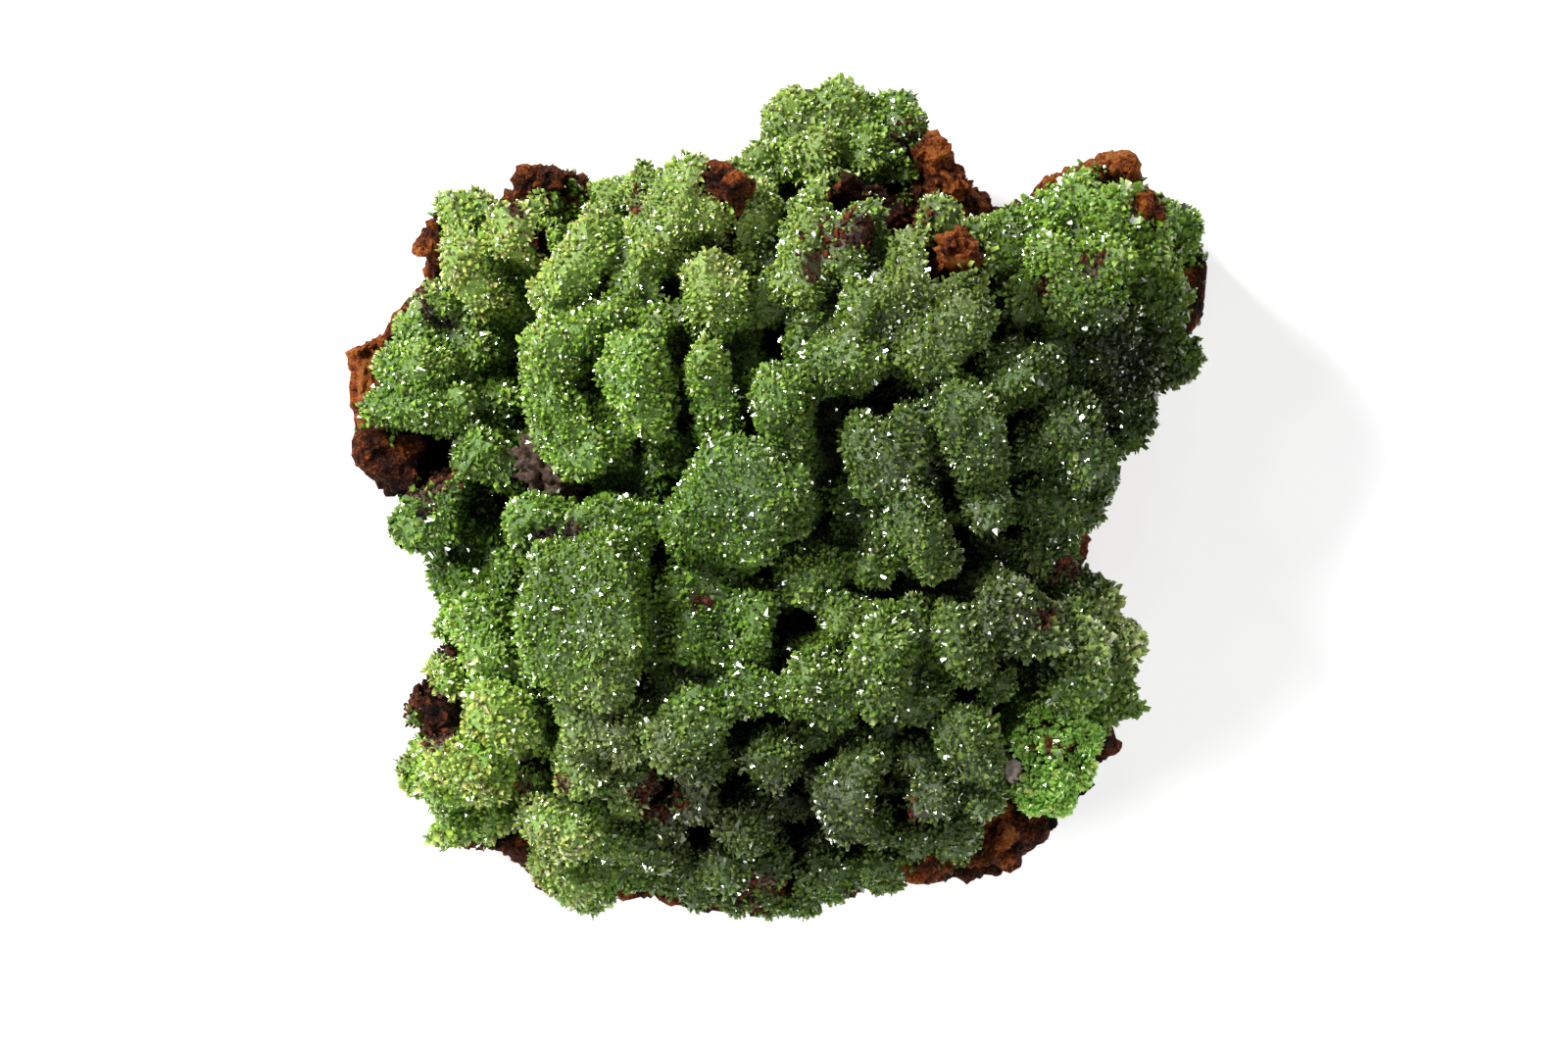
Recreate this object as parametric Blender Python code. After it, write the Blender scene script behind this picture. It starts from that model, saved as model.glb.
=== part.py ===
"""Austinite on limonite: a hand specimen of rusty iron-oxide rock under a lumpy green crystal crust.

The specimen lies on the flat of its matrix with the crystal face up (+Z).
+X runs to its right and +Y to its top, as it is usually shown in its display view.
The origin is at the middle of its base. Tables are in millimetres, and objects are in metres.
"""

import math

import bmesh
import bpy
from mathutils import Matrix, Vector
from mathutils.geometry import delaunay_2d_cdt
from mathutils.noise import fractal

MM = 0.001

# The crust's valley floors lie a relief below the summits around, and deeper in the dips,
# (x, y, depth, spread) each.
LUMP_RELIEF = 10.5
FLOOR_SPREAD = 5.0
DIPS = (
    (-30.0, 12.0, 3.0, 4.0),
    (-31.0, -4.0, 3.0, 4.0),
    (-37.0, 4.0, 3.0, 3.5),
    (8.0, 33.0, 4.0, 6.0),
    (15.0, 31.0, 5.0, 4.0),
    (0.0, -40.0, 4.0, 10.0),
    (25.0, -34.0, 4.0, 5.0),
)
# Lumps lean out from the middle, so their roots lie this share of the way back to it per millimetre down.
LEAN = 0.011

CRUST_THICKNESS = 1.8
CRUST_SHEET_DEPTH = 4.0
CRUST_EDGE_WIDTH = 2.0
CRUST_ROUGHNESS = 0.6
CRUST_GRAIN = 4.5
SHEET_SPACING = 2.0
SEAT_GAP = 0.9
CUTTER_VOXEL = 0.45
CRACK_FILL = 0.9

ROCK_RIM_HEIGHT = 9.0
ROCK_TOP_SHOULDER = 6.0
ROCK_FOOT_INSET = 11.0
ROCK_CUT_MARGIN = 2.0
ROCK_ROUGHNESS = 1.1
ROCK_GRAIN = 5.0

ROCK_TRIANGLES = 2150
CUTTER_TRIANGLES = 2200
CRUST_TRIANGLES = 4440
ROSETTE_TRIANGLES = 420

# Outline of the rock, clockwise from its upper left corner.
ROCK_OUTLINE = (
    (-35.2, 29.5), (-37.2, 27.0), (-36.5, 25.0), (-35.8, 23.0), (-38.0, 20.8), (-40.0, 18.8),
    (-40.0, 17.0), (-43.0, 15.5), (-44.3, 11.5), (-43.8, 9.0), (-44.3, 6.5), (-43.0, 3.5),
    (-40.5, 1.8), (-38.0, 0.0), (-37.0, -3.5), (-33.5, -6.0), (-32.5, -10.0), (-32.5, -14.0),
    (-35.5, -17.0), (-38.2, -19.2), (-38.0, -23.5), (-36.5, -28.0), (-35.0, -32.0), (-33.8, -35.2),
    (-30.0, -35.7), (-27.5, -36.5), (-25.0, -39.0), (-21.0, -40.5), (-18.5, -41.0), (-15.5, -40.5),
    (-12.5, -40.8), (-8.0, -42.2), (-5.5, -43.4), (0.0, -43.4), (4.0, -41.8), (9.0, -40.2),
    (14.0, -38.8), (19.0, -38.6), (23.5, -37.2), (26.5, -35.0), (28.5, -31.8), (30.9, -30.0),
    (32.0, -27.8), (33.2, -25.8), (34.8, -23.8), (33.0, -20.0), (33.0, -15.0), (32.8, -10.5),
    (31.0, -6.5), (31.5, -1.0), (33.0, 4.0), (36.0, 9.5), (40.5, 15.5), (41.5, 18.0), (43.0, 22.0),
    (44.0, 25.0), (42.5, 27.5), (40.0, 30.0), (37.5, 33.5), (34.5, 35.0), (31.0, 34.5), (28.0, 33.0),
    (25.5, 30.5), (22.0, 29.8), (20.0, 31.5), (19.3, 34.0), (17.8, 35.5), (15.5, 37.2), (13.5, 38.2),
    (11.0, 39.0), (6.0, 41.0), (2.0, 40.5), (0.5, 37.0), (-3.0, 34.0), (-8.0, 33.5), (-13.0, 32.8),
    (-17.5, 33.0), (-20.5, 32.5), (-21.8, 34.2), (-26.5, 34.4), (-26.8, 31.8), (-30.0, 30.5),
    (-32.0, 31.8), (-34.0, 30.0),
)

# Outline of the sheet of crystal that the lumps rise from. It stops short where bare rock shows.
CRUST_OUTLINE = (
    (-34.0, 30.8), (-30.5, 30.0), (-27.0, 30.5), (-24.0, 31.0), (-20.5, 32.5), (-16.0, 31.5),
    (-12.0, 33.0), (-8.0, 34.2), (-4.0, 33.8), (-1.0, 36.5), (0.5, 40.5), (3.5, 42.2), (8.0, 41.5),
    (13.0, 39.5), (13.8, 36.0), (11.0, 32.8), (8.5, 31.5), (9.5, 28.0), (11.5, 26.0), (15.5, 29.0),
    (17.0, 30.3), (21.0, 29.0), (25.0, 30.0), (28.5, 32.0), (32.0, 32.5), (36.5, 30.5), (39.0, 31.0),
    (42.0, 27.5), (42.0, 23.0), (40.5, 18.0), (42.0, 14.0), (38.0, 12.5), (36.0, 7.5), (33.0, 3.0),
    (31.0, -1.0), (30.5, -6.0), (33.5, -10.5), (35.5, -14.5), (35.0, -20.0), (33.0, -23.0),
    (25.0, -24.0), (22.5, -28.0), (21.5, -31.5), (19.5, -35.5), (17.5, -38.5), (12.0, -39.5),
    (6.0, -41.0), (1.0, -42.0), (-3.5, -41.0), (-10.0, -40.8), (-12.0, -38.0), (-16.5, -38.8),
    (-19.5, -41.5), (-23.5, -39.5), (-26.0, -36.0), (-29.0, -33.5), (-34.0, -34.5), (-37.0, -31.0),
    (-38.5, -27.0), (-37.0, -22.5), (-36.0, -18.0), (-33.0, -15.0), (-33.5, -11.0), (-35.0, -7.5),
    (-38.5, -4.5), (-39.3, -1.0), (-36.5, 1.0), (-33.0, 2.5), (-34.5, 5.5), (-37.0, 7.0),
    (-41.5, 8.5), (-40.5, 11.0), (-40.5, 14.5), (-39.0, 18.0), (-35.5, 22.0), (-34.5, 26.5),
)

# Lumps of the crust by region: x, y, height of the summit and radius there.
# Eight numbers are a ridge between two such summits, and twelve a flat top between three.
TOP_SPUR = (
    (6.0, 40.8, 20.0, 3.3),
    (2.1, 40.2, 20.0, 3.0),
    (0.6, 38.4, 18.5, 2.5),
    (8.6, 39.6, 19.0, 2.4),
    (10.7, 38.8, 18.5, 2.7, 12.7, 40.0, 17.5, 2.1),
    (3.5, 35.5, 23.0, 3.0),
    (8.5, 36.0, 21.5, 2.6),
    (12.0, 35.0, 19.0, 2.3),
    (-1.5, 34.8, 21.0, 2.4),
    (-4.0, 33.5, 21.5, 2.0),
    (3.4, 30.6, 30.0, 2.4, 5.6, 31.6, 30.5, 2.3),
)
UPPER_LEFT = (
    (-33.2, 29.7, 24.0, 2.4),
    (-31.2, 30.5, 23.0, 1.8),
    (-32.2, 24.8, 27.0, 2.9),
    (-27.8, 27.8, 28.0, 2.8),
    (-24.6, 30.6, 26.0, 1.8),
    (-25.8, 25.6, 25.0, 2.0),
    (-19.3, 27.3, 31.0, 2.6, -22.7, 21.0, 31.5, 2.7),
    (-22.5, 18.6, 28.0, 2.0),
    (-37.5, 17.3, 22.5, 2.2),
    (-35.5, 20.7, 22.5, 2.0),
    (-30.3, 22.0, 25.0, 2.6),
    (-20.8, 32.5, 21.0, 1.6),
    (-16.5, 30.5, 23.0, 2.7),
    (-33.0, 19.0, 20.5, 2.3),
)
UPPER_MIDDLE = (
    (-8.5, 31.5, 33.0, 3.8, -12.4, 27.2, 33.0, 3.4),
    (-13.8, 31.5, 27.0, 2.8),
    (-3.2, 29.8, 29.5, 3.1),
    (-2.5, 26.0, 28.0, 2.6),
    (-14.9, 22.7, 31.0, 2.5),
    (-7.2, 22.5, 36.0, 3.2, -6.7, 19.3, 34.5, 3.3),
    (-13.2, 18.2, 33.0, 2.5),
    (-1.3, 20.5, 31.0, 2.6),
    (-17.8, 18.5, 33.0, 2.4, -23.2, 15.8, 35.0, 3.2),
    (-24.0, 11.5, 34.0, 2.8, -21.0, 5.8, 34.0, 3.6),
    (-18.0, 6.0, 32.5, 2.4),
    (-18.4, 9.6, 30.0, 2.2),
    (-15.0, 14.0, 39.0, 3.3, -14.0, 9.5, 38.0, 2.7),
    (-7.7, 14.2, 38.0, 2.1, -6.5, 8.5, 35.0, 2.3),
    (0.0, 11.2, 39.5, 3.2, 0.6, 7.0, 37.5, 2.6),
    (1.2, 4.5, 35.0, 1.8),
    (4.2, 13.8, 36.5, 2.7, 7.8, 15.2, 38.0, 3.3),
    (-10.8, 5.5, 31.0, 2.8),
    (-14.0, 3.0, 29.5, 2.4),
    (-9.5, 16.3, 30.0, 1.9),
    (-3.5, 15.5, 29.0, 2.2),
)
UPPER_RIGHT = (
    (3.2, 27.2, 33.5, 2.7, 2.0, 23.0, 35.0, 2.9),
    (7.6, 27.8, 34.0, 2.8, 6.8, 24.2, 35.0, 2.6),
    (8.5, 22.5, 32.0, 2.2),
    (17.5, 24.8, 41.0, 3.6, 8.5, 19.2, 37.5, 2.6),
    (16.2, 29.0, 33.0, 2.0),
    (13.5, 25.4, 37.5, 2.2),
    (19.8, 24.8, 38.0, 2.2),
    (18.5, 18.8, 40.5, 3.4, 14.8, 15.8, 39.0, 3.3),
    (3.8, 18.5, 33.0, 2.4),
    (2.2, 16.5, 32.5, 2.0),
    (23.5, 13.2, 37.0, 3.4, 25.8, 13.8, 35.5, 2.8),
    (22.0, 28.2, 24.0, 2.0),
    (20.0, 27.2, 26.0, 2.0),
    (24.5, 28.8, 25.0, 2.0),
)
UPPER_RIGHT_LOBE = (
    (27.5, 29.2, 28.0, 2.6),
    (30.5, 31.0, 28.0, 2.2),
    (31.5, 33.0, 25.5, 1.4),
    (33.5, 29.0, 30.0, 2.9),
    (28.3, 25.2, 31.0, 2.9),
    (33.0, 24.8, 32.0, 3.2),
    (29.2, 21.0, 32.0, 2.9, 32.5, 20.5, 31.0, 2.6),
    (37.2, 27.0, 28.0, 2.8),
    (39.0, 29.6, 23.0, 2.0),
    (41.3, 28.0, 18.5, 2.4),
    (42.3, 25.6, 16.5, 1.8),
    (35.8, 31.8, 22.0, 1.6),
    (37.8, 22.0, 25.0, 3.3),
    (39.0, 17.5, 21.0, 2.4),
    (41.6, 15.2, 14.5, 1.9),
    (40.2, 13.9, 14.0, 1.7),
    (33.0, 16.5, 28.0, 3.4),
    (35.5, 12.5, 23.0, 3.0),
    (25.0, 20.5, 30.0, 2.8),
    (23.5, 24.8, 27.5, 2.6),
    (28.5, 16.0, 27.0, 2.6),
    (40.5, 21.0, 19.0, 2.0),
)
RIGHT_MIDDLE = (
    (18.5, 9.8, 40.0, 3.2, 20.3, 4.0, 36.5, 2.8),
    (21.2, 0.0, 34.0, 2.5),
    (29.0, 9.0, 35.0, 2.8, 30.8, 4.8, 34.0, 3.1),
    (27.0, 6.0, 33.5, 2.4),
    (9.0, 7.0, 37.0, 2.4, 9.8, 2.5, 37.0, 2.8),
    (12.8, 7.8, 37.5, 2.2, 12.4, 4.0, 37.0, 2.6),
    (13.5, -1.5, 38.5, 2.9, 15.5, -5.5, 36.0, 2.6),
    (10.5, -2.0, 34.5, 2.0),
    (35.2, 7.0, 19.0, 2.0),
    (36.8, 9.5, 18.0, 1.7),
    (26.5, 0.0, 29.5, 3.0, 28.5, -2.0, 28.0, 2.8),
    (31.0, -0.5, 21.0, 1.8),
    (26.2, -5.0, 28.5, 2.6),
    (28.5, -6.0, 26.0, 2.2),
    (6.8, 1.0, 30.0, 2.4),
    (7.0, -3.5, 31.0, 2.4),
    (9.3, -6.2, 34.0, 2.4),
    (33.0, 2.2, 20.0, 2.0),
    (24.5, 4.0, 27.0, 2.0),
    (21.0, -5.0, 27.0, 2.2),
)
CENTRE = (
    (-5.6, 4.4, 42.0, 2.4, 0.4, 1.6, 42.5, 2.6, -9.0, -1.5, 41.0, 2.6),
    (0.4, 1.6, 42.5, 2.6, -3.4, -3.4, 40.0, 2.8, -9.0, -1.5, 41.0, 2.6),
    (-9.4, -2.6, 39.5, 2.6, -6.0, -4.0, 38.0, 2.6),
    (0.6, -1.2, 38.5, 2.3),
    (-8.8, -6.2, 34.5, 2.8),
    (-5.0, -5.8, 34.0, 2.2),
    (-10.0, -9.5, 36.5, 2.8, -9.5, -13.5, 35.5, 3.0),
    (-6.5, -8.2, 35.5, 2.2),
    (-3.5, -11.5, 36.5, 2.7, -3.8, -14.5, 35.0, 2.5),
    (-6.5, -15.5, 34.0, 2.6),
    (-11.0, -17.0, 33.0, 2.6),
    (-16.8, -5.0, 42.5, 2.3, -16.6, -13.5, 41.5, 2.4, -24.5, -12.0, 37.0, 2.8),
    (-17.0, -5.0, 42.0, 2.3, -22.5, -7.0, 38.5, 3.0, -24.5, -12.0, 37.0, 2.8),
    (-16.8, -13.5, 41.0, 2.4, -24.0, -15.5, 36.5, 2.8, -18.5, -18.5, 37.5, 2.8),
    (-21.0, -19.5, 34.5, 2.4),
    (-14.0, -2.0, 37.5, 1.9, -20.0, -1.8, 37.5, 2.1),
    (-16.5, -3.5, 38.0, 2.4),
    (-25.7, -1.5, 32.0, 2.5),
    (-26.0, -4.2, 31.0, 2.0),
    (-23.5, -1.3, 33.0, 1.8),
    (-17.5, 1.5, 28.0, 2.0),
)
LEFT = (
    (-37.5, 13.8, 26.5, 3.0),
    (-40.5, 14.3, 24.5, 1.7),
    (-41.5, 9.6, 26.0, 1.6, -36.5, 9.7, 27.0, 2.2),
    (-33.8, 10.2, 26.0, 2.0),
    (-31.5, 16.5, 20.5, 3.0),
    (-31.0, 4.8, 26.0, 2.9),
    (-28.8, 3.5, 24.5, 2.0),
    (-29.5, 10.5, 20.0, 2.6),
    (-37.2, -2.2, 25.0, 2.9),
    (-34.8, 1.0, 23.5, 1.9),
    (-31.0, -4.5, 18.5, 3.0),
    (-32.5, -8.5, 21.0, 3.0),
    (-34.5, -6.3, 19.0, 1.8),
    (-33.2, -12.0, 22.0, 2.1),
    (-29.8, -9.4, 22.0, 2.0),
    (-28.2, -6.6, 22.0, 1.9),
    (-28.0, -12.0, 24.0, 2.1),
)
LOWER_LEFT_LOBE = (
    (-31.2, -12.5, 29.0, 2.9, -29.0, -15.5, 30.5, 2.8),
    (-34.0, -18.5, 25.0, 2.7),
    (-29.0, -21.2, 32.5, 3.4, -28.0, -23.0, 32.0, 3.0),
    (-31.5, -27.0, 31.0, 3.8, -34.0, -27.5, 28.0, 3.4),
    (-37.0, -27.5, 22.5, 2.5),
    (-33.0, -32.5, 22.5, 2.6),
    (-29.5, -32.0, 23.0, 2.2),
    (-24.8, -24.2, 27.0, 2.0),
    (-38.0, -21.5, 20.0, 1.2),
    (-34.8, -34.2, 17.5, 1.5),
)
BOTTOM_LEFT = (
    (-24.0, -32.0, 28.0, 2.8, -21.5, -34.0, 28.0, 2.9),
    (-21.0, -38.4, 22.0, 2.8),
    (-20.0, -40.6, 18.5, 1.9),
    (-22.4, -39.8, 18.5, 1.6),
    (-23.5, -37.0, 23.0, 2.2),
    (-19.2, -22.5, 34.5, 3.2, -16.0, -23.5, 34.5, 3.0),
    (-20.5, -27.0, 30.5, 3.0),
    (-16.0, -29.0, 28.0, 3.2),
    (-13.2, -22.5, 35.0, 2.6),
    (-16.5, -35.0, 23.0, 3.0),
    (-12.5, -35.8, 22.0, 2.4),
    (-16.9, -38.2, 19.5, 1.9),
    (-14.2, -38.4, 18.5, 1.8),
    (-11.6, -38.6, 18.0, 1.9),
    (-8.6, -37.6, 20.0, 2.1),
    (-11.5, -32.0, 24.0, 2.6),
    (-25.5, -29.5, 25.5, 2.2),
)
BOTTOM_MIDDLE = (
    (-8.8, -22.0, 38.0, 3.0, -10.5, -24.8, 37.5, 3.1),
    (-8.5, -26.5, 34.5, 2.4),
    (-3.5, -19.5, 35.5, 2.8),
    (-1.0, -26.5, 34.0, 2.8),
    (-8.8, -30.2, 29.0, 2.4),
    (-3.7, -33.5, 29.5, 2.5),
    (-5.5, -37.5, 23.0, 2.6),
    (-2.0, -37.0, 22.0, 2.4),
    (8.3, -26.8, 33.0, 2.3),
    (6.0, -30.0, 33.5, 2.6, 6.5, -32.0, 31.0, 2.5),
    (9.3, -33.3, 27.0, 2.0),
    (5.0, -38.0, 22.0, 3.0),
    (-1.5, -40.9, 17.5, 2.1),
    (1.0, -30.8, 21.0, 2.0),
    (10.0, -37.5, 22.0, 2.8),
    (-8.5, -40.0, 16.0, 1.6),
    (2.5, -41.6, 17.0, 1.9),
    (-4.6, -41.4, 16.0, 1.7),
)
LOWER_RIGHT = (
    (2.2, -7.8, 36.0, 2.8, 4.2, -7.0, 35.0, 2.2),
    (6.5, -11.5, 36.0, 2.5),
    (10.5, -14.0, 40.0, 3.2, 10.0, -18.0, 38.0, 3.2),
    (3.2, -17.5, 37.5, 3.0, 5.0, -20.0, 36.0, 3.0),
    (1.2, -19.5, 35.0, 2.2),
    (13.0, -11.2, 34.0, 2.0),
    (14.7, -14.5, 35.0, 2.2),
    (18.5, -13.0, 38.0, 2.6, 19.5, -16.2, 35.5, 2.4),
    (23.2, -10.5, 38.0, 2.9, 26.2, -13.0, 36.0, 2.8),
    (14.5, -20.0, 34.0, 2.6),
    (22.2, -18.8, 31.0, 1.8),
    (10.5, -23.5, 28.5, 2.2),
    (3.0, -23.5, 30.0, 2.3),
    (6.5, -24.0, 29.0, 2.0),
    (14.2, -26.5, 31.0, 2.3),
    (18.5, -23.5, 35.0, 3.0, 20.0, -26.0, 33.5, 2.7),
    (15.5, -29.5, 31.0, 2.4),
    (20.5, -30.2, 29.5, 2.4),
    (18.0, -34.0, 26.0, 2.8),
    (14.0, -34.8, 25.5, 2.4),
)
RIGHT_EDGE = (
    (30.8, -14.5, 32.0, 2.6, 30.0, -18.5, 31.5, 2.8),
    (35.2, -14.8, 23.0, 2.3),
    (32.5, -10.2, 22.0, 2.2),
    (34.7, -20.3, 22.0, 2.2),
    (29.0, -9.0, 24.5, 2.0),
    (30.0, -11.8, 28.0, 1.7),
    (34.4, -17.5, 24.0, 2.1),
    (32.5, -22.5, 25.0, 1.8),
)
CRUST_LUMPS = (
    TOP_SPUR + UPPER_LEFT + UPPER_MIDDLE + UPPER_RIGHT + UPPER_RIGHT_LOBE + RIGHT_MIDDLE + CENTRE
    + LEFT + LOWER_LEFT_LOBE + BOTTOM_LEFT + BOTTOM_MIDDLE + LOWER_RIGHT + RIGHT_EDGE
)

# The lime-green rosette at the lower right, a low dome of petal-like crystal groups.
ROSETTE_PETALS = (
    (28.0, -26.0, 26.0, 4.0),
    (26.5, -21.8, 27.0, 1.9),
    (29.2, -22.5, 28.0, 1.8),
    (31.2, -24.2, 26.5, 1.9),
    (25.2, -24.5, 27.5, 1.9),
    (27.8, -24.8, 29.0, 1.7),
    (30.5, -27.5, 26.0, 1.9),
    (25.0, -28.0, 26.5, 2.0),
    (27.8, -28.0, 28.0, 1.9),
    (26.0, -30.2, 24.5, 1.9),
    (28.5, -30.2, 25.0, 1.9),
)

# Knobs where the rock breaks through the crust or stands past its edge.
ROCK_KNOBS = (
    (-43.0, 14.8, 20.5, 1.5, -43.0, 10.5, 20.5, 1.5),
    (-41.5, 5.5, 24.5, 2.6, -40.5, 3.6, 23.0, 2.0),
    (-25.5, 33.0, 24.0, 1.7, -22.8, 32.8, 24.0, 1.7),
    (14.8, 36.6, 18.5, 1.3),
    (16.2, 35.2, 19.5, 1.2),
    (17.6, 33.6, 19.5, 1.8, 19.2, 31.0, 18.0, 1.5),
    (12.4, 30.5, 18.0, 2.2),
    (31.3, 33.2, 22.5, 1.9, 35.0, 33.9, 22.0, 1.7),
    (-36.2, 26.8, 20.0, 1.3, -35.2, 29.2, 19.5, 1.1),
    (-38.8, 18.6, 18.0, 1.0, -36.8, 21.4, 18.5, 1.1),
    (28.0, 32.0, 21.0, 1.2),
    (37.5, 30.0, 28.5, 1.6),
    (42.9, 23.8, 16.0, 1.6, 42.0, 19.5, 15.0, 1.5),
    (41.3, 17.6, 14.0, 1.2),
    (23.0, -34.5, 17.0, 2.8, 26.0, -32.0, 17.0, 2.6),
    (22.0, -33.5, 20.0, 1.6, 20.6, -36.0, 19.5, 1.3),
    (33.4, -24.4, 19.0, 1.5),
    (30.6, -28.8, 16.0, 1.5),
    (-30.0, -34.8, 17.5, 1.2, -26.0, -35.6, 19.0, 1.3),
    (14.5, -37.2, 24.0, 1.5, 16.8, -37.4, 23.5, 1.3),
    (-37.2, -20.2, 23.5, 1.3, -35.0, -22.3, 27.0, 1.6),
    (16.4, 24.8, 41.3, 1.6, 19.0, 25.0, 40.8, 1.6, 17.5, 27.2, 40.6, 1.3),
    (-7.4, 33.6, 34.4, 1.4, -5.2, 32.4, 34.6, 1.6),
    (-24.0, 28.6, 28.0, 1.2, -22.6, 25.2, 28.2, 0.9),
    (6.0, 32.6, 32.6, 1.5, 9.4, 31.6, 31.0, 1.5),
)

GOETHITE_WARTS = (
    (-25.4, 4.9, 28.6, 1.5),
    (-24.6, 3.0, 29.4, 1.7),
    (-23.5, 4.5, 29.0, 1.4),
    (-22.8, 2.2, 29.4, 1.7),
    (-21.7, 2.9, 28.6, 1.4),
    (-24.8, 6.1, 28.0, 1.2),
    (-23.4, 0.9, 28.2, 1.2),
)
PEBBLE = ((23.7, -27.7, 26.0, 0.9, 23.8, -27.0, 25.6, 0.8),)
BLACK_BEADS = (
    (-36.9, 19.0, 18.6, 0.9),
    (-35.6, 18.7, 18.2, 0.8),
    (-34.5, 19.3, 18.0, 0.9),
)


def clear_scene():
    for obj in list(bpy.data.objects):
        bpy.data.objects.remove(obj)


def new_object(name, mesh):
    obj = bpy.data.objects.new(name, mesh)
    bpy.context.scene.collection.objects.link(obj)
    return obj


def finish_of(name, colour, roughness):
    """A Principled material with one colour, which is all the solids need."""
    material = bpy.data.materials.new(name)
    material.use_nodes = True
    shader = material.node_tree.nodes["Principled BSDF"]
    shader.inputs["Base Color"].default_value = (*colour, 1.0)
    shader.inputs["Roughness"].default_value = roughness
    shader.inputs["Metallic"].default_value = 0.0
    return material


def summits_of(row):
    """The summits of a table row, four numbers each."""
    return [row[start : start + 4] for start in range(0, len(row), 4)]


SUMMITS = [summit for row in CRUST_LUMPS + ROSETTE_PETALS for summit in summits_of(row)]


def valley_floor(x, y):
    """Height of the crust between its lumps, in millimetres."""
    total = 0.0
    heights = 0.0
    for summit_x, summit_y, top, _ in SUMMITS:
        reach = (x - summit_x) ** 2 + (y - summit_y) ** 2
        weight = math.exp(-reach / (2 * FLOOR_SPREAD**2)) + 1e-9
        total += weight
        heights += weight * top
    height = heights / total - LUMP_RELIEF
    for dip_x, dip_y, depth, spread in DIPS:
        reach = (x - dip_x) ** 2 + (y - dip_y) ** 2
        height -= depth * math.exp(-reach / (2 * spread**2))
    return height


def distance_to(outline, x, y):
    """Distance from a point to the nearest side of a closed outline."""
    nearest = math.inf
    for (ax, ay), (bx, by) in zip(outline, outline[1:] + outline[:1]):
        along = ((x - ax) * (bx - ax) + (y - ay) * (by - ay)) / ((bx - ax) ** 2 + (by - ay) ** 2)
        along = min(1.0, max(0.0, along))
        nearest = min(nearest, math.hypot(x - ax - along * (bx - ax), y - ay - along * (by - ay)))
    return nearest


def inside(outline, x, y):
    crossings = 0
    for (ax, ay), (bx, by) in zip(outline, outline[1:] + outline[:1]):
        if (ay > y) != (by > y) and x < ax + (y - ay) * (bx - ax) / (by - ay):
            crossings += 1
    return crossings % 2 == 1


def ease(share):
    share = min(1.0, max(0.0, share))
    return math.sqrt(1.0 - (1.0 - share) ** 2)


def pillow(outline, spacing, top_at, underside_at):
    """A closed body over an outline: two height surfaces that meet at the rim."""
    points = list(outline)
    steps = int(50.0 / spacing)
    for column in range(-steps, steps + 1):
        for row in range(-steps, steps + 1):
            x = column * spacing
            y = row * spacing
            if inside(outline, x, y) and distance_to(outline, x, y) > 0.4 * spacing:
                points.append((x, y))
    rim = list(range(len(outline)))
    flat = delaunay_2d_cdt([Vector(p) for p in points], [], [rim], 1, 1e-5)
    corners, triangles = flat[0], flat[2]
    count = len(corners)
    body = bmesh.new()
    on_rim = [distance_to(outline, x, y) < 1e-3 for x, y in corners]
    tops = [body.verts.new((x * MM, y * MM, top_at(x, y) * MM)) for x, y in corners]
    unders = [
        tops[i] if on_rim[i] else body.verts.new((x * MM, y * MM, underside_at(x, y) * MM))
        for i, (x, y) in zip(range(count), corners)
    ]
    for triangle in triangles:
        body.faces.new([tops[i] for i in triangle])
        body.faces.new([unders[i] for i in reversed(triangle)])
    bmesh.ops.recalc_face_normals(body, faces=body.faces)
    return body


def ball_points():
    """The corners of an icosphere of radius 1."""
    ball = bmesh.new()
    bmesh.ops.create_icosphere(ball, subdivisions=2, radius=1.0)
    points = [vert.co.copy() for vert in ball.verts]
    ball.free()
    return points


def add_lump(body, summits, flare, root_depth, shape):
    """Adds the hull of each summit's ball and of the wider root below it."""
    hull = bmesh.new()
    for x, y, top, radius in summits:
        root = min(valley_floor(x, y) - root_depth, top - radius)
        back = 1.0 - LEAN * (top - radius - root)
        for point in shape:
            tip = Vector((x, y, top - radius)) + point * radius
            base = Vector((x * back, y * back, root)) + point * radius * flare
            hull.verts.new(tip * MM)
            hull.verts.new(base * MM)
    bmesh.ops.convex_hull(hull, input=hull.verts)
    loose = [vert for vert in hull.verts if not vert.link_faces]
    bmesh.ops.delete(hull, geom=loose, context="VERTS")
    bmesh.ops.recalc_face_normals(hull, faces=hull.faces)
    mesh = bpy.data.meshes.new("hull")
    hull.to_mesh(mesh)
    hull.free()
    body.from_mesh(mesh)
    bpy.data.meshes.remove(mesh)


def add_lumps(body, table, flare=1.05, root_depth=1.5):
    shape = ball_points()
    for row in table:
        add_lump(body, summits_of(row), flare, root_depth, shape)


def object_from(body, name):
    mesh = bpy.data.meshes.new(name)
    body.to_mesh(mesh)
    body.free()
    return new_object(name, mesh)


def bake(obj):
    """Replaces an object's mesh by what its modifiers make of it."""
    graph = bpy.context.evaluated_depsgraph_get()
    baked = bpy.data.meshes.new_from_object(obj.evaluated_get(graph))
    obj.modifiers.clear()
    obj.data = baked


def fuse(obj, voxel):
    """Joins overlapping shells into one closed skin."""
    remesh = obj.modifiers.new("fuse", "REMESH")
    remesh.mode = "VOXEL"
    remesh.voxel_size = voxel * MM
    bake(obj)


def roughen(obj, amount, grain, octaves=4):
    """Pushes a surface in and out by fractal noise, in steps of a grain."""
    body = bmesh.new()
    body.from_mesh(obj.data)
    body.normal_update()
    for vert in body.verts:
        swell = fractal(vert.co / (grain * MM), 0.7, 2.0, octaves)
        vert.co += vert.normal * swell * amount * MM
    body.to_mesh(obj.data)
    body.free()


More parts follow.
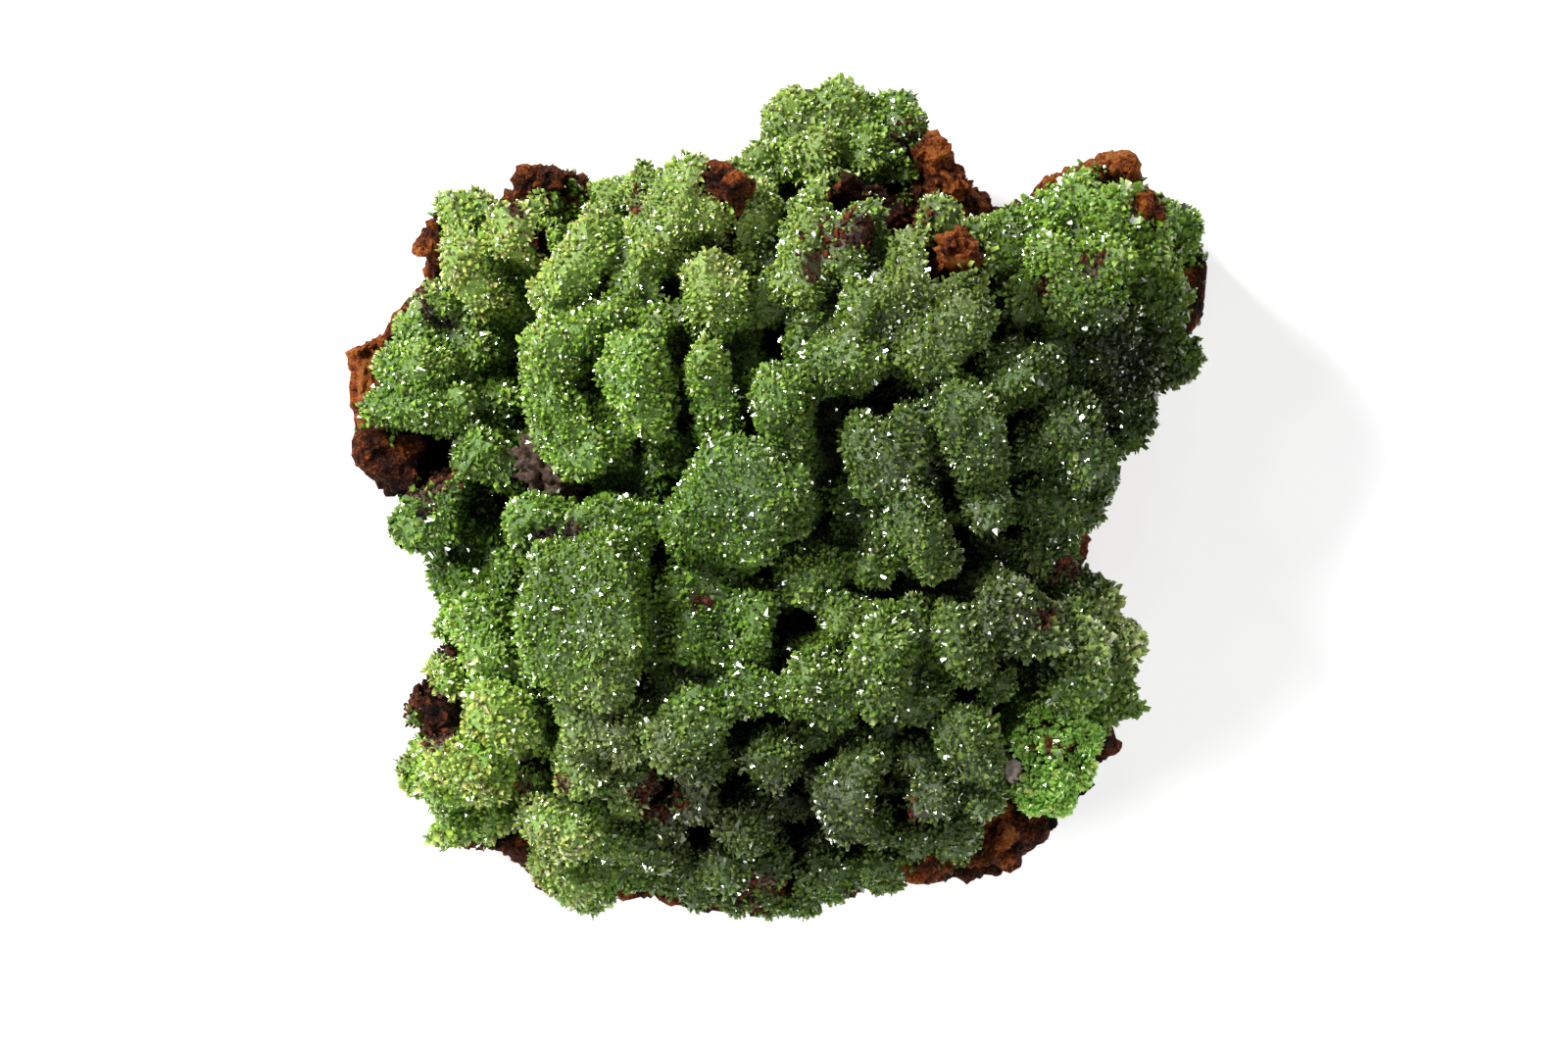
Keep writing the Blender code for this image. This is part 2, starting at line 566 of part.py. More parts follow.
def thin_out(obj, triangles):
    """Reduces a mesh to about a number of triangles."""
    current = sum(len(face.vertices) - 2 for face in obj.data.polygons)
    decimate = obj.modifiers.new("thin_out", "DECIMATE")
    decimate.ratio = min(1.0, triangles / current)
    decimate.use_collapse_triangulate = True
    bake(obj)


def swell(obj, amount):
    """Moves a surface out along its normals."""
    body = bmesh.new()
    body.from_mesh(obj.data)
    body.normal_update()
    moved = [vert.co + vert.normal * amount * MM for vert in body.verts]
    for vert, place in zip(body.verts, moved):
        vert.co = place
    body.to_mesh(obj.data)
    body.free()


def hidden(obj):
    obj.hide_render = True
    obj.display_type = "WIRE"
    return obj


def grown(obj, gap, triangles):
    """A cutter with an object's shape, larger all round by a gap."""
    cutter = hidden(new_object(obj.name + "_cutter", obj.data.copy()))
    swell(cutter, gap)
    fuse(cutter, CUTTER_VOXEL)
    thin_out(cutter, triangles)
    return cutter


def block(name, low, high):
    body = bmesh.new()
    bmesh.ops.create_cube(body, size=1.0)
    size = (Vector(high) - Vector(low)) * MM
    centre = (Vector(high) + Vector(low)) / 2 * MM
    bmesh.ops.transform(body, matrix=Matrix.Translation(centre) @ Matrix.Diagonal((*size, 1.0)), verts=body.verts)
    return hidden(object_from(body, name))


def cut(obj, cutter):
    boolean = obj.modifiers.new("cut", "BOOLEAN")
    boolean.operation = "DIFFERENCE"
    boolean.solver = "EXACT"
    boolean.object = cutter
    bake(obj)


def keep_largest(obj):
    """Deletes crumbs that a cut leaves beside the main body."""
    body = bmesh.new()
    body.from_mesh(obj.data)
    unseen = set(body.verts)
    islands = []
    while unseen:
        start = unseen.pop()
        island = [start]
        stack = [start]
        while stack:
            for edge in stack.pop().link_edges:
                for vert in edge.verts:
                    if vert in unseen:
                        unseen.discard(vert)
                        island.append(vert)
                        stack.append(vert)
        islands.append(island)
    islands.sort(key=len)
    for island in islands[:-1]:
        bmesh.ops.delete(body, geom=island, context="VERTS")
    body.to_mesh(obj.data)
    body.free()


def make_matrix():
    """The limonite rock: a slab with a domed top, rough all over, cut flat below."""

    def slab_top(x, y):
        rise = valley_floor(x, y) - CRUST_THICKNESS - ROCK_RIM_HEIGHT
        return ROCK_RIM_HEIGHT + rise * ease(distance_to(ROCK_OUTLINE, x, y) / ROCK_TOP_SHOULDER)

    def slab_foot(x, y):
        fall = ROCK_RIM_HEIGHT + ROCK_CUT_MARGIN
        return ROCK_RIM_HEIGHT - fall * ease(distance_to(ROCK_OUTLINE, x, y) / ROCK_FOOT_INSET)

    body = pillow(ROCK_OUTLINE, SHEET_SPACING, slab_top, slab_foot)
    add_lumps(body, ROCK_KNOBS, flare=1.3, root_depth=4.0)
    rock = object_from(body, "limonite_matrix")
    fuse(rock, 0.7)
    roughen(rock, ROCK_ROUGHNESS, ROCK_GRAIN)
    for step in (CRACK_FILL, -CRACK_FILL):
        swell(rock, step)
        fuse(rock, 0.6)
    thin_out(rock, ROCK_TRIANGLES)
    return rock


def make_lumpy(name, table, voxel, triangles):
    body = bmesh.new()
    add_lumps(body, table)
    obj = object_from(body, name)
    fuse(obj, voxel)
    thin_out(obj, triangles)
    return obj


def make_crust():
    """The austinite crust: a sheet over the rock with all its lumps."""

    def sheet_top(x, y):
        edge = ease(distance_to(CRUST_OUTLINE, x, y) / CRUST_EDGE_WIDTH)
        return valley_floor(x, y) - CRUST_SHEET_DEPTH * (1 - edge)

    def sheet_foot(x, y):
        return valley_floor(x, y) - CRUST_SHEET_DEPTH

    body = pillow(CRUST_OUTLINE, SHEET_SPACING, sheet_top, sheet_foot)
    add_lumps(body, CRUST_LUMPS)
    crust = object_from(body, "austinite_crust")
    fuse(crust, 0.7)
    roughen(crust, CRUST_ROUGHNESS, CRUST_GRAIN)
    thin_out(crust, CRUST_TRIANGLES)
    return crust


def centre_on_base(pieces):
    """Puts the middle of the pieces' common box over the origin."""
    corners = [vert.co for piece in pieces for vert in piece.data.vertices]
    middle_x = (min(c.x for c in corners) + max(c.x for c in corners)) / 2
    middle_y = (min(c.y for c in corners) + max(c.y for c in corners)) / 2
    for piece in pieces:
        piece.data.transform(Matrix.Translation((-middle_x, -middle_y, 0.0)))


def main():
    clear_scene()
    rust = finish_of("limonite", (0.17, 0.06, 0.03), 0.85)
    green = finish_of("austinite", (0.13, 0.32, 0.06), 0.3)
    lime = finish_of("austinite_lime", (0.25, 0.5, 0.08), 0.3)
    umber = finish_of("goethite", (0.14, 0.09, 0.08), 0.6)
    black = finish_of("manganese_oxide", (0.03, 0.03, 0.04), 0.4)

    rock = make_matrix()
    crust = make_crust()
    rosette = make_lumpy("austinite_rosette", ROSETTE_PETALS, 0.5, ROSETTE_TRIANGLES)
    nodule = make_lumpy("goethite_nodule", GOETHITE_WARTS, 0.35, 260)
    pebble = make_lumpy("goethite_pebble", PEBBLE, 0.3, 80)
    beads = make_lumpy("manganese_beads", BLACK_BEADS, 0.25, 120)

    rock_cutter = grown(rock, SEAT_GAP, CUTTER_TRIANGLES)
    rosette_cutter = grown(rosette, SEAT_GAP, ROSETTE_TRIANGLES)
    small = [(piece, grown(piece, SEAT_GAP, 200)) for piece in (nodule, pebble, beads)]

    for cutter in (rock_cutter, rosette_cutter, *[cutter for _, cutter in small]):
        cut(crust, cutter)
    keep_largest(crust)
    pebble_cutter = small[1][1]
    for cutter in (rock_cutter, pebble_cutter):
        cut(rosette, cutter)
    keep_largest(rosette)
    for piece, _ in small:
        cut(piece, rock_cutter)
        keep_largest(piece)
    cut(rock, block("floor", (-60.0, -60.0, -20.0), (60.0, 60.0, 0.0)))
    keep_largest(rock)

    finishes = {rock: rust, crust: green, rosette: lime, nodule: umber, pebble: umber, beads: black}
    for piece, material in finishes.items():
        piece.data.materials.clear()
        piece.data.materials.append(material)
    centre_on_base(finishes)


main()
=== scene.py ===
"""An austinite specimen: glassy green crystals in a lumpy crust on rust-brown limonite.

It lies on the flat of its rock with the crystal face up (+Z), seen from straight above.
Tables are in millimetres on the crystal face, with +X to its right and +Y to its top.
"""

import math

import bmesh
import bpy
import numpy as np
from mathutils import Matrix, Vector, kdtree, noise
from mathutils.bvhtree import BVHTree


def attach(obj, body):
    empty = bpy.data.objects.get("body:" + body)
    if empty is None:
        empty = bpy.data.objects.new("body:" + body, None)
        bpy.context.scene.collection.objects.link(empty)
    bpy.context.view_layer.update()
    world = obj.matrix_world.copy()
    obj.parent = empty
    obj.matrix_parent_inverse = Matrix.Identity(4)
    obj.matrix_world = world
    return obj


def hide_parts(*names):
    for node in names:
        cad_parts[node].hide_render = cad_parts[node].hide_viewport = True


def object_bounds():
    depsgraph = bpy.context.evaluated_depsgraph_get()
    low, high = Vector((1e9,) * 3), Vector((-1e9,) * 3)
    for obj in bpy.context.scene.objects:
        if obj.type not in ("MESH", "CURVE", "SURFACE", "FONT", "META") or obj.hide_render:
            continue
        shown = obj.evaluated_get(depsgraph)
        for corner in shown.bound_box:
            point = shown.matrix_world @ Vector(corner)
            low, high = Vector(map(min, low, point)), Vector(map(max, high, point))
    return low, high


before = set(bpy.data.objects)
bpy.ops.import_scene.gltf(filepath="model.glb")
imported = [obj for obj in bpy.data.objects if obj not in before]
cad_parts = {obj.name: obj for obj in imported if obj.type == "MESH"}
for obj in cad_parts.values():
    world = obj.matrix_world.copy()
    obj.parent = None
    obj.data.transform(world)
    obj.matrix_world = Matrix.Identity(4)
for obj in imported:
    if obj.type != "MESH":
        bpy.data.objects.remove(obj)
cad_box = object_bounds()

# The limonite rock: a slab of earthy brown iron oxide, crumbly and pitted all over.
# It grew first, and the crystals sit on it. Its underside was trimmed flat to rest on.
MM = 0.001
ROCK_SKIN = 0.32
ROCK_SWELL = 0.15
ROCK_FACES = 76000
# Lumps, coarse crumbs and fine crumbs: their sizes, and how far they stand out.
ROCK_LUMP = 3.0
LUMP_HEIGHT = 0.95
COARSE_CRUMB = 2.3
COARSE_HEIGHT = 0.95
FINE_CRUMB = 0.8
FINE_HEIGHT = 0.85
CRUMB_LEVEL = 0.45
# Rock above this height shows only at the tips of lumps, and is less crumbly.
HIGH_ROCK = 26.0
HIGH_CRUMBLE = 0.75
# Rock lower than this stays smooth, drawn in a little, so that the specimen rests on its flat.
RESTING_EDGE = 0.6
RESTING_INSET = 0.1
# Rock is bare where no crust stands over it within this reach. It crumbles much less under the crust.
COVERED_REACH = 2.5
COVERED_CRUMBLE = 0.15
BREAK_SMOOTHNESS = 0.75
PIT_DEEPENING = 0.5
ROCK_DROP = 0.2
# What keeps every mesh inside the specimen's own box: a margin, and how soon the swelling fades near it.
BOX_MARGIN = 0.02
BOX_FADE = 3.0
SOOT = (0.008, 0.003, 0.002)
UMBER = (0.045, 0.013, 0.006)
RUST = (0.15, 0.033, 0.008)
ORANGE = (0.48, 0.12, 0.016)
TAN = (0.47, 0.20, 0.06)
# Patches of the rock that are more orange (+) or more umber (-) than the rest: x, y, spread, amount.
ROCK_PATCHES = (
    (-43.0, 12.5, 3.5, 1.6),
    (-41.0, 4.5, 3.5, -0.2),
    (-38.0, 1.0, 3.0, -0.6),
    (-24.0, 33.0, 3.0, -0.2),
    (15.0, 37.0, 2.0, 0.9),
    (19.3, 32.3, 2.2, 1.2),
    (10.5, 31.5, 3.5, -1.1),
    (17.4, 25.0, 3.0, 1.0),
    (34.0, 34.0, 4.0, 1.1),
    (42.0, 22.0, 4.0, -0.3),
    (31.5, -27.0, 4.5, -0.6),
    (23.0, -33.5, 2.0, 1.2),
    (27.0, -32.0, 3.0, -0.5),
    (18.0, -37.0, 3.0, -0.4),
    (-3.0, -42.0, 4.0, 0.1),
    (-31.0, -35.0, 5.0, -0.5),
    (-36.0, -21.0, 4.0, -0.9),
)
# Where the rock broke along smooth faces, without crumbs: x, y, spread, share.
CLEAN_BREAKS = (
    (27.0, -33.5, 4.0, 1.0),
    (36.0, -27.0, 3.0, 0.8),
    (-36.5, 1.0, 4.0, 0.9),
    (36.0, 34.0, 3.0, 0.7),
    (-36.0, -21.5, 3.0, 0.5),
)
# Where the rock lies lower, so that the crust stands round it: x, y, spread, depth.
SUNKEN = (
    (-23.5, 28.0, 3.0, 0.7),
    (16.9, 24.4, 2.6, 0.9),
    (8.0, 32.0, 2.6, 0.9),
    (-37.0, -21.5, 3.0, 0.6),
    (-14.5, 31.5, 2.5, 0.5),
)


class Wire:
    """A number or colour on its way through a material. Maths on it adds Math nodes."""

    def __init__(self, finish, socket):
        self.finish = finish
        self.socket = socket

    def maths(self, operation, first, second):
        return self.finish.node("ShaderNodeMath", {"operation": operation}, {0: first, 1: second})

    def __add__(self, other):
        return self.maths("ADD", self, other)

    def __sub__(self, other):
        return self.maths("SUBTRACT", self, other)

    def __mul__(self, other):
        return self.maths("MULTIPLY", self, other)

    def __rsub__(self, other):
        return self.maths("SUBTRACT", other, self)

    __radd__ = __add__
    __rmul__ = __mul__


class Finish:
    """One material: its shader's constants, and the nodes that vary it over a surface."""

    def __init__(self, name, constants):
        self.material = bpy.data.materials.new(name)
        self.material.use_nodes = True
        self.tree = self.material.node_tree
        self.shader = self.tree.nodes["Principled BSDF"]
        for socket, value in constants.items():
            self.shader.inputs[socket].default_value = value

    def node(self, kind, settings, inputs, output=0):
        """A new node of a kind, with its settings and the values or links of its sockets."""
        node = self.tree.nodes.new(kind)
        for setting, value in settings.items():
            if setting == "stops":
                ramp = node.color_ramp.elements
                while len(ramp) < len(value):
                    ramp.new(1.0)
                for stop, (place, colour) in zip(ramp, value):
                    stop.position = place
                    stop.color = (*colour, 1.0)
            else:
                setattr(node, setting, value)
        for socket, value in inputs.items():
            if isinstance(value, Wire):
                self.tree.links.new(value.socket, node.inputs[socket])
            elif isinstance(value, tuple) and len(value) == 3 and node.inputs[socket].type == "RGBA":
                node.inputs[socket].default_value = (*value, 1.0)
            else:
                node.inputs[socket].default_value = value
        return Wire(self, node.outputs[output])

    def place(self):
        return self.node("ShaderNodeTexCoord", {}, {}, 3)

    def cloud(self, size, detail, roughness):
        """Noise whose lumps are about a size in millimetres, from 0 to 1."""
        inputs = {"Vector": self.place(), "Scale": 1 / (size * MM), "Detail": detail}
        return self.node("ShaderNodeTexNoise", {}, {**inputs, "Roughness": roughness})

    def stored(self, name, output=0):
        return self.node("ShaderNodeAttribute", {"attribute_name": name}, {}, output)

    def ramp(self, share, stops):
        return self.node("ShaderNodeValToRGB", {"stops": stops}, {0: share})

    def shaded(self, share, colour, shade):
        """A colour multiplied by a share of a shade."""
        settings = {"data_type": "RGBA", "blend_type": "MULTIPLY"}
        return self.node("ShaderNodeMix", settings, {0: share, 6: colour, 7: shade}, 2)

    def feed(self, socket, wire):
        self.tree.links.new(wire.socket, self.shader.inputs[socket])

    def rough_up(self, height, depth):
        """Feeds a bump of a depth in millimetres."""
        bump = self.node("ShaderNodeBump", {}, {"Height": height, "Distance": depth * MM})
        self.feed("Normal", bump)


def in_scene(name, data):
    """A new object in the scene that holds a mesh, a lamp or a camera."""
    held = bpy.data.objects.new(name, data)
    bpy.context.scene.collection.objects.link(held)
    return held


def own(name, mesh, finish):
    """Puts a mesh in the scene as a piece that moves with the specimen."""
    piece = in_scene(name, mesh)
    mesh.materials.clear()
    mesh.materials.append(finish.material)
    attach(piece, "root")
    return piece


def baked(obj):
    """The mesh that an object's modifiers make."""
    graph = bpy.context.evaluated_depsgraph_get()
    mesh = bpy.data.meshes.new_from_object(obj.evaluated_get(graph))
    bpy.data.objects.remove(obj)
    return mesh


def smooth(obj, rounds):
    """Smooths the corners of an object's mesh in a number of rounds."""
    soften = obj.modifiers.new("soften", "SMOOTH")
    soften.factor = 0.5
    soften.iterations = rounds


def remade(mesh, voxel, rounds):
    """A mesh remade in even faces, with its corners smoothed in a number of rounds."""
    obj = in_scene("remade", mesh)
    remesh = obj.modifiers.new("remesh", "REMESH")
    remesh.mode = "VOXEL"
    remesh.voxel_size = voxel * MM
    smooth(obj, rounds)
    return baked(obj)


def thinned(mesh, faces):
    """A mesh with at most a number of triangles, fewer where it is flat."""
    obj = in_scene("thinned", mesh)
    thin = obj.modifiers.new("thin", "DECIMATE")
    thin.ratio = min(1.0, faces / (2 * len(mesh.polygons)))
    thin.use_collapse_triangulate = True
    mesh = baked(obj)
    place_points(mesh, points_of(mesh))
    return mesh


def moved_in(node, inset):
    """A copy of a solid's mesh with its faces moved in by an inset."""
    body = bmesh.new()
    body.from_mesh(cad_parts[node].data)
    bmesh.ops.remove_doubles(body, verts=body.verts, dist=1e-6)
    body.normal_update()
    places = [vert.co - vert.normal * inset * MM for vert in body.verts]
    for vert, place in zip(body.verts, places):
        vert.co = place
    mesh = bpy.data.meshes.new(node + "_skin")
    body.to_mesh(mesh)
    body.free()
    return mesh


def points_of(mesh):
    """The places of a mesh's corners, in metres."""
    points = np.empty(3 * len(mesh.vertices), np.float32)
    mesh.vertices.foreach_get("co", points)
    return points.reshape(-1, 3)


def normals_of(mesh):
    """The direction that each corner of a mesh faces."""
    normals = np.empty(3 * len(mesh.vertices), np.float32)
    mesh.vertex_normals.foreach_get("vector", normals)
    return normals.reshape(-1, 3)


def place_points(mesh, points):
    """Moves a mesh's corners, kept inside the specimen's own box."""
    low = np.array(cad_box[0]) + BOX_MARGIN * MM
    high = np.array(cad_box[1]) - BOX_MARGIN * MM
    low[2] = 0.0
    mesh.vertices.foreach_set("co", np.clip(points, low, high).astype(np.float32).ravel())
    mesh.update()


def swell_at(points, size, octaves, seed=0.0):
    """Fractal noise from about -1 to 1 at points in metres, for lumps of a size in millimetres."""
    offset = Vector((seed, seed, seed))
    places = points / (size * MM)
    return np.array([noise.fractal(Vector(place) + offset, 0.8, 2.0, octaves) for place in places])


def cells_at(points, size):
    """0 at the middle of each crumb of a size in millimetres, and up to 1 in the cracks between."""
    return np.array([noise.voronoi(Vector(place))[0][0] for place in points / (size * MM)])


def held_back(points, raised, drop):
    """How far points are raised in millimetres, less and less near the sides and top of the box.

    At the box itself they drop instead, which leaves room for the crystals."""
    below = np.array(cad_box[1]) - points
    above = (points - np.array(cad_box[0]))[:, :2]
    room = np.minimum(below.min(axis=1), above.min(axis=1)) / MM
    share = np.clip(room / BOX_FADE, 0.0, 1.0)
    return raised * share - drop * (1 - share)


def tree_of(node):
    """A solid in a form that finds its nearest point, and where a ray meets it."""
    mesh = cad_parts[node].data
    corners = [vert.co for vert in mesh.vertices]
    return BVHTree.FromPolygons(corners, [polygon.vertices for polygon in mesh.polygons])


def covered(points, normals, tree, reach):
    """1 for each point that has a solid over it within a reach in millimetres, else 0."""
    hits = [
        tree.ray_cast(Vector(point), Vector(normal), reach * MM)[0] is not None
        for point, normal in zip(points, normals)
    ]
    return np.array(hits, float)


def store(mesh, name, values):
    """Keeps a number or a colour for each corner of a mesh."""
    if values.ndim == 1:
        layer = mesh.attributes.new(name, "FLOAT", "POINT")
        layer.data.foreach_set("value", values.astype(np.float32))
    else:
        layer = mesh.color_attributes.new(name, "FLOAT_COLOR", "POINT")
        solid = np.column_stack([values, np.ones(len(values))])
        layer.data.foreach_set("color", solid.astype(np.float32).ravel())


def patches_at(points, patches):
    """The sum at each point of round soft patches, (x, y, spread, amount) each."""
    total = np.zeros(len(points))
    for x, y, spread, amount in patches:
        reach = (points[:, 0] / MM - x) ** 2 + (points[:, 1] / MM - y) ** 2
        total += amount * np.exp(-reach / (2 * spread**2))
    return total


limonite = Finish("limonite", {"Roughness": 0.9, "Specular IOR Level": 0.15})
grain = limonite.cloud(0.35, 4.0, 0.8)
mottle = limonite.cloud(2.0, 5.0, 0.75)
warmth = limonite.stored("warmth", 2)
shade = mottle * 1.5 + grain * 1.7 + warmth * 0.22 - 1.15
limonite.feed("Base Color", limonite.ramp(
    shade, ((0.18, SOOT), (0.38, UMBER), (0.56, RUST), (0.78, ORANGE), (1.0, TAN))))
limonite.rough_up(grain, 0.8)

crust_tree = tree_of("austinite_crust")
rock_mesh = remade(moved_in("limonite_matrix", -ROCK_SWELL), ROCK_SKIN, 1)
rock_points = points_of(rock_mesh)
rock_normals = normals_of(rock_mesh)
bared = 1 - covered(rock_points, rock_normals, crust_tree, COVERED_REACH)
high_share = np.where(rock_points[:, 2] > HIGH_ROCK * MM, HIGH_CRUMBLE, 1.0)
bared_share = COVERED_CRUMBLE + (1 - COVERED_CRUMBLE) * bared
lumps = LUMP_HEIGHT * swell_at(rock_points, ROCK_LUMP, 6)
ridges = COARSE_HEIGHT * (cells_at(rock_points, COARSE_CRUMB) - CRUMB_LEVEL)
crumbs = ridges - FINE_HEIGHT * (cells_at(rock_points, FINE_CRUMB) - CRUMB_LEVEL)
crumbs = crumbs * (1 - BREAK_SMOOTHNESS * np.minimum(1.0, patches_at(rock_points, CLEAN_BREAKS)))
crumble = (lumps + crumbs) * high_share * bared_share - patches_at(rock_points, SUNKEN)
# Near the box the rock swells less. Its pits are everywhere half as deep again.
crumble = held_back(rock_points, crumble, ROCK_DROP) + PIT_DEEPENING * np.minimum(0.0, crumble)
crumble = np.where(rock_points[:, 2] < RESTING_EDGE * MM, -RESTING_INSET, crumble)
place_points(rock_mesh, rock_points + rock_normals * (crumble * MM)[:, None])
rock_skin = points_of(rock_mesh)
store(rock_mesh, "warmth", patches_at(rock_points, ROCK_PATCHES) + 1.5 * crumbs + 0.8 * lumps)
rock_mesh = thinned(rock_mesh, ROCK_FACES)
rock = own("limonite_rock", rock_mesh, limonite)
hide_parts("limonite_matrix")

# The crystal bed: the solid green mass of the crust, whose lumps and fingers carry the crystals.
# It is the same austinite, grown too close to show faces of its own.
BED_INSET = 0.3
BED_SKIN = 0.49
BED_FACES = 30000
BED_RIPPLE = 0.5
FINE_RIPPLE = 1.9
WIDE_RIPPLE = 4.2
BED_DROP = 0.45
# Rounds of smoothing that flatten the lumps, to tell how far each point stands out.
LUMP_SPREAD = 140
LUMP_SHARPENING = 0.6
# From this much rust up the bed carries crumbs, and from a little more it carries no crystals.
RUSTED = 0.45
BARE = 0.5
RUST_SHARE = 0.75
RUST_RAGGEDNESS = 0.9
# The bed is painted darker than its crystals, as shade between them, and darkest in the valleys,
# as painted shade: its tone, contrast and range.
BED_PAINTED_SHADE = 0.34
BED_PAINTED_SHADE_CONTRAST = 0.32
BED_PAINTED_SHADE_RANGE = (0.03, 0.62)
LEAF = (0.20, 0.46, 0.02)
# Where the green turns to another: x, y, spread, colour. The darker grey-greens at the right and
# bottom are partly their own colour and partly painted shade where the lamp light falls off.
GREEN_AND_PAINTED_SHADE_PATCHES = (
    (-33.0, 5.0, 6.0, (0.17, 0.38, 0.03)),
    (-27.0, 24.0, 9.0, (0.54, 0.88, 0.10)),
    (-8.0, 26.0, 9.0, (0.47, 0.70, 0.09)),
    (3.0, 38.0, 6.0, (0.47, 0.74, 0.10)),
    (16.0, 22.0, 8.0, (0.27, 0.38, 0.05)),
    (32.0, 26.0, 6.0, (0.36, 0.68, 0.04)),
    (-31.0, -24.0, 8.0, (0.52, 0.98, 0.08)),
    (-5.0, -1.0, 7.0, (0.17, 0.38, 0.02)),
    (15.0, 3.0, 9.0, (0.13, 0.22, 0.04)),
    (30.0, 6.0, 8.0, (0.13, 0.25, 0.03)),
    # Painted shade: this near-black zone is the shade of a slope turned away from the large lamp.
    (36.0, 14.0, 5.5, (0.02, 0.03, 0.012)),
    (-20.0, -11.0, 7.0, (0.18, 0.36, 0.015)),
    (24.0, -12.0, 7.0, (0.075, 0.11, 0.03)),
    (8.0, -15.0, 7.0, (0.22, 0.40, 0.03)),
    (-17.0, -25.0, 5.0, (0.34, 0.46, 0.11)),
    (-10.0, -33.0, 6.0, (0.072, 0.082, 0.032)),
    (3.0, -32.0, 6.0, (0.07, 0.085, 0.035)),
    (16.0, -30.0, 7.0, (0.12, 0.19, 0.04)),
    (-22.0, -37.0, 5.0, (0.52, 0.90, 0.14)),
    (36.0, -13.0, 4.0, (0.42, 0.60, 0.18)),
    (-16.0, 13.0, 6.0, (0.26, 0.54, 0.02)),
)
# Where crumbs of rust cling to the crust: x, y, spread, amount.
RUST_PATCHES = (
    (5.0, 26.5, 2.5, 0.55),
    (8.5, 27.5, 1.2, 1.1),
    (3.0, 22.5, 2.0, 0.45),
    (-8.0, 32.0, 2.0, 0.6),
    (-14.5, 30.5, 1.2, 0.7),
    (-27.0, 29.0, 1.2, 0.7),
    (-24.5, 26.0, 1.2, 0.8),
    (-37.0, 20.5, 1.2, 0.9),
    (-37.5, 2.4, 1.8, 1.3),
    (-33.8, 2.2, 1.2, 1.0),
    (-36.0, -21.5, 1.8, 1.3),
    (-34.0, -24.0, 1.5, 1.0),
    (-33.5, -15.5, 1.0, 1.0),
    (-12.0, -30.5, 2.2, 1.1),
    (-7.5, -34.5, 1.2, 1.0),
    (-22.0, -29.5, 1.0, 1.0),
    (-26.0, -30.0, 1.0, 0.9),
    (-1.5, -40.5, 2.5, 0.9),
    (14.0, -32.0, 1.0, 1.0),
    (29.5, -7.5, 1.2, 1.1),
    (27.5, -12.0, 1.2, 0.9),
    (32.5, 23.8, 1.6, 0.8),
    (27.0, 21.7, 1.0, 1.1),
    (38.0, 29.5, 1.6, 0.9),
    (15.5, -9.5, 0.8, 1.0),
    (-7.5, -10.5, 1.0, 0.9),
    (8.5, -19.0, 0.6, 1.0),
    (14.5, 29.0, 2.0, 0.6),
    (13.0, 37.5, 1.2, 0.8),
    (-20.0, -3.0, 1.0, 0.8),
    (-24.2, -3.9, 0.6, 1.4),
    (-22.9, -3.5, 0.6, 1.4),
    (-21.5, -3.4, 0.6, 1.3),
    (-35.4, 18.6, 0.6, 1.3),
    (-33.9, 18.2, 0.55, 1.3),
    (-36.0, -1.4, 0.7, 1.2),
    (-26.2, 1.8, 0.8, 1.2),
)
# Which of those patches are of black oxide instead of rust: x, y, spread, share.
BLACK_PATCHES = (
    (-22.8, -3.6, 1.8, 1.0),
    (-34.6, 18.4, 1.4, 1.0),
    (-36.0, -1.4, 0.8, 1.0),
    (-26.2, 1.8, 1.0, 1.0),
    (-8.5, 25.5, 1.0, 1.0),
)


def green_at(points):
    """The colour of the crystals around each point, with the painted shade of some zones."""
    colour = np.tile(np.array(LEAF), (len(points), 1))
    for x, y, spread, patch in GREEN_AND_PAINTED_SHADE_PATCHES:
        share = np.minimum(1.0, patches_at(points, ((x, y, spread, 1.0),)))[:, None]
        colour = colour * (1 - share) + np.array(patch) * share
    return colour


def rust_at(points):
    """How much rust clings at each point."""
    ragged = RUST_SHARE + RUST_RAGGEDNESS * swell_at(points, 1.6, 3, 5.0)
    return patches_at(points, RUST_PATCHES) * ragged


bed_finish = Finish("austinite_bed", {"Roughness": 0.45, "IOR": 1.76})
speckle = bed_finish.cloud(0.3, 3.0, 0.7)
shadow = bed_finish.ramp(speckle, ((0.35, (0.45, 0.5, 0.4)), (0.65, (1.0, 1.0, 1.0))))
bed_finish.feed("Base Color", bed_finish.shaded(1.0, bed_finish.stored("tint"), shadow))
bed_finish.rough_up(speckle, 0.2)


def softened(mesh, rounds):
    """The corners of a mesh after a number of rounds of smoothing."""
    obj = in_scene("softened", mesh)
    smooth(obj, rounds)
    soft = baked(obj)
    places = points_of(soft)
    bpy.data.meshes.remove(soft)
    return places


def bed_of(node, inset, voxel, ripple, sharpening):
    """The bed of a crystal-covered solid: its form moved in, with lumps swollen and valleys deeper.

    Gives its mesh, and how far each corner stands out (+) or lies in a valley (-), in millimetres."""
    mesh = remade(moved_in(node, inset), voxel, 2)
    points = points_of(mesh)
    normals = normals_of(mesh)
    relief = np.sum((points - softened(mesh, LUMP_SPREAD)) * normals, axis=1) / MM
    raised = sharpening * relief + ripple * swell_at(points, FINE_RIPPLE, 4)
    raised = held_back(points, raised + ripple * swell_at(points, WIDE_RIPPLE, 2, 7.0), BED_DROP)
    place_points(mesh, points + normals * (raised * MM)[:, None])
    return mesh, relief


bed_mesh, relief = bed_of("austinite_crust", BED_INSET, BED_SKIN, BED_RIPPLE, LUMP_SHARPENING)
bed_points = points_of(bed_mesh)
bed_rust = rust_at(bed_points)
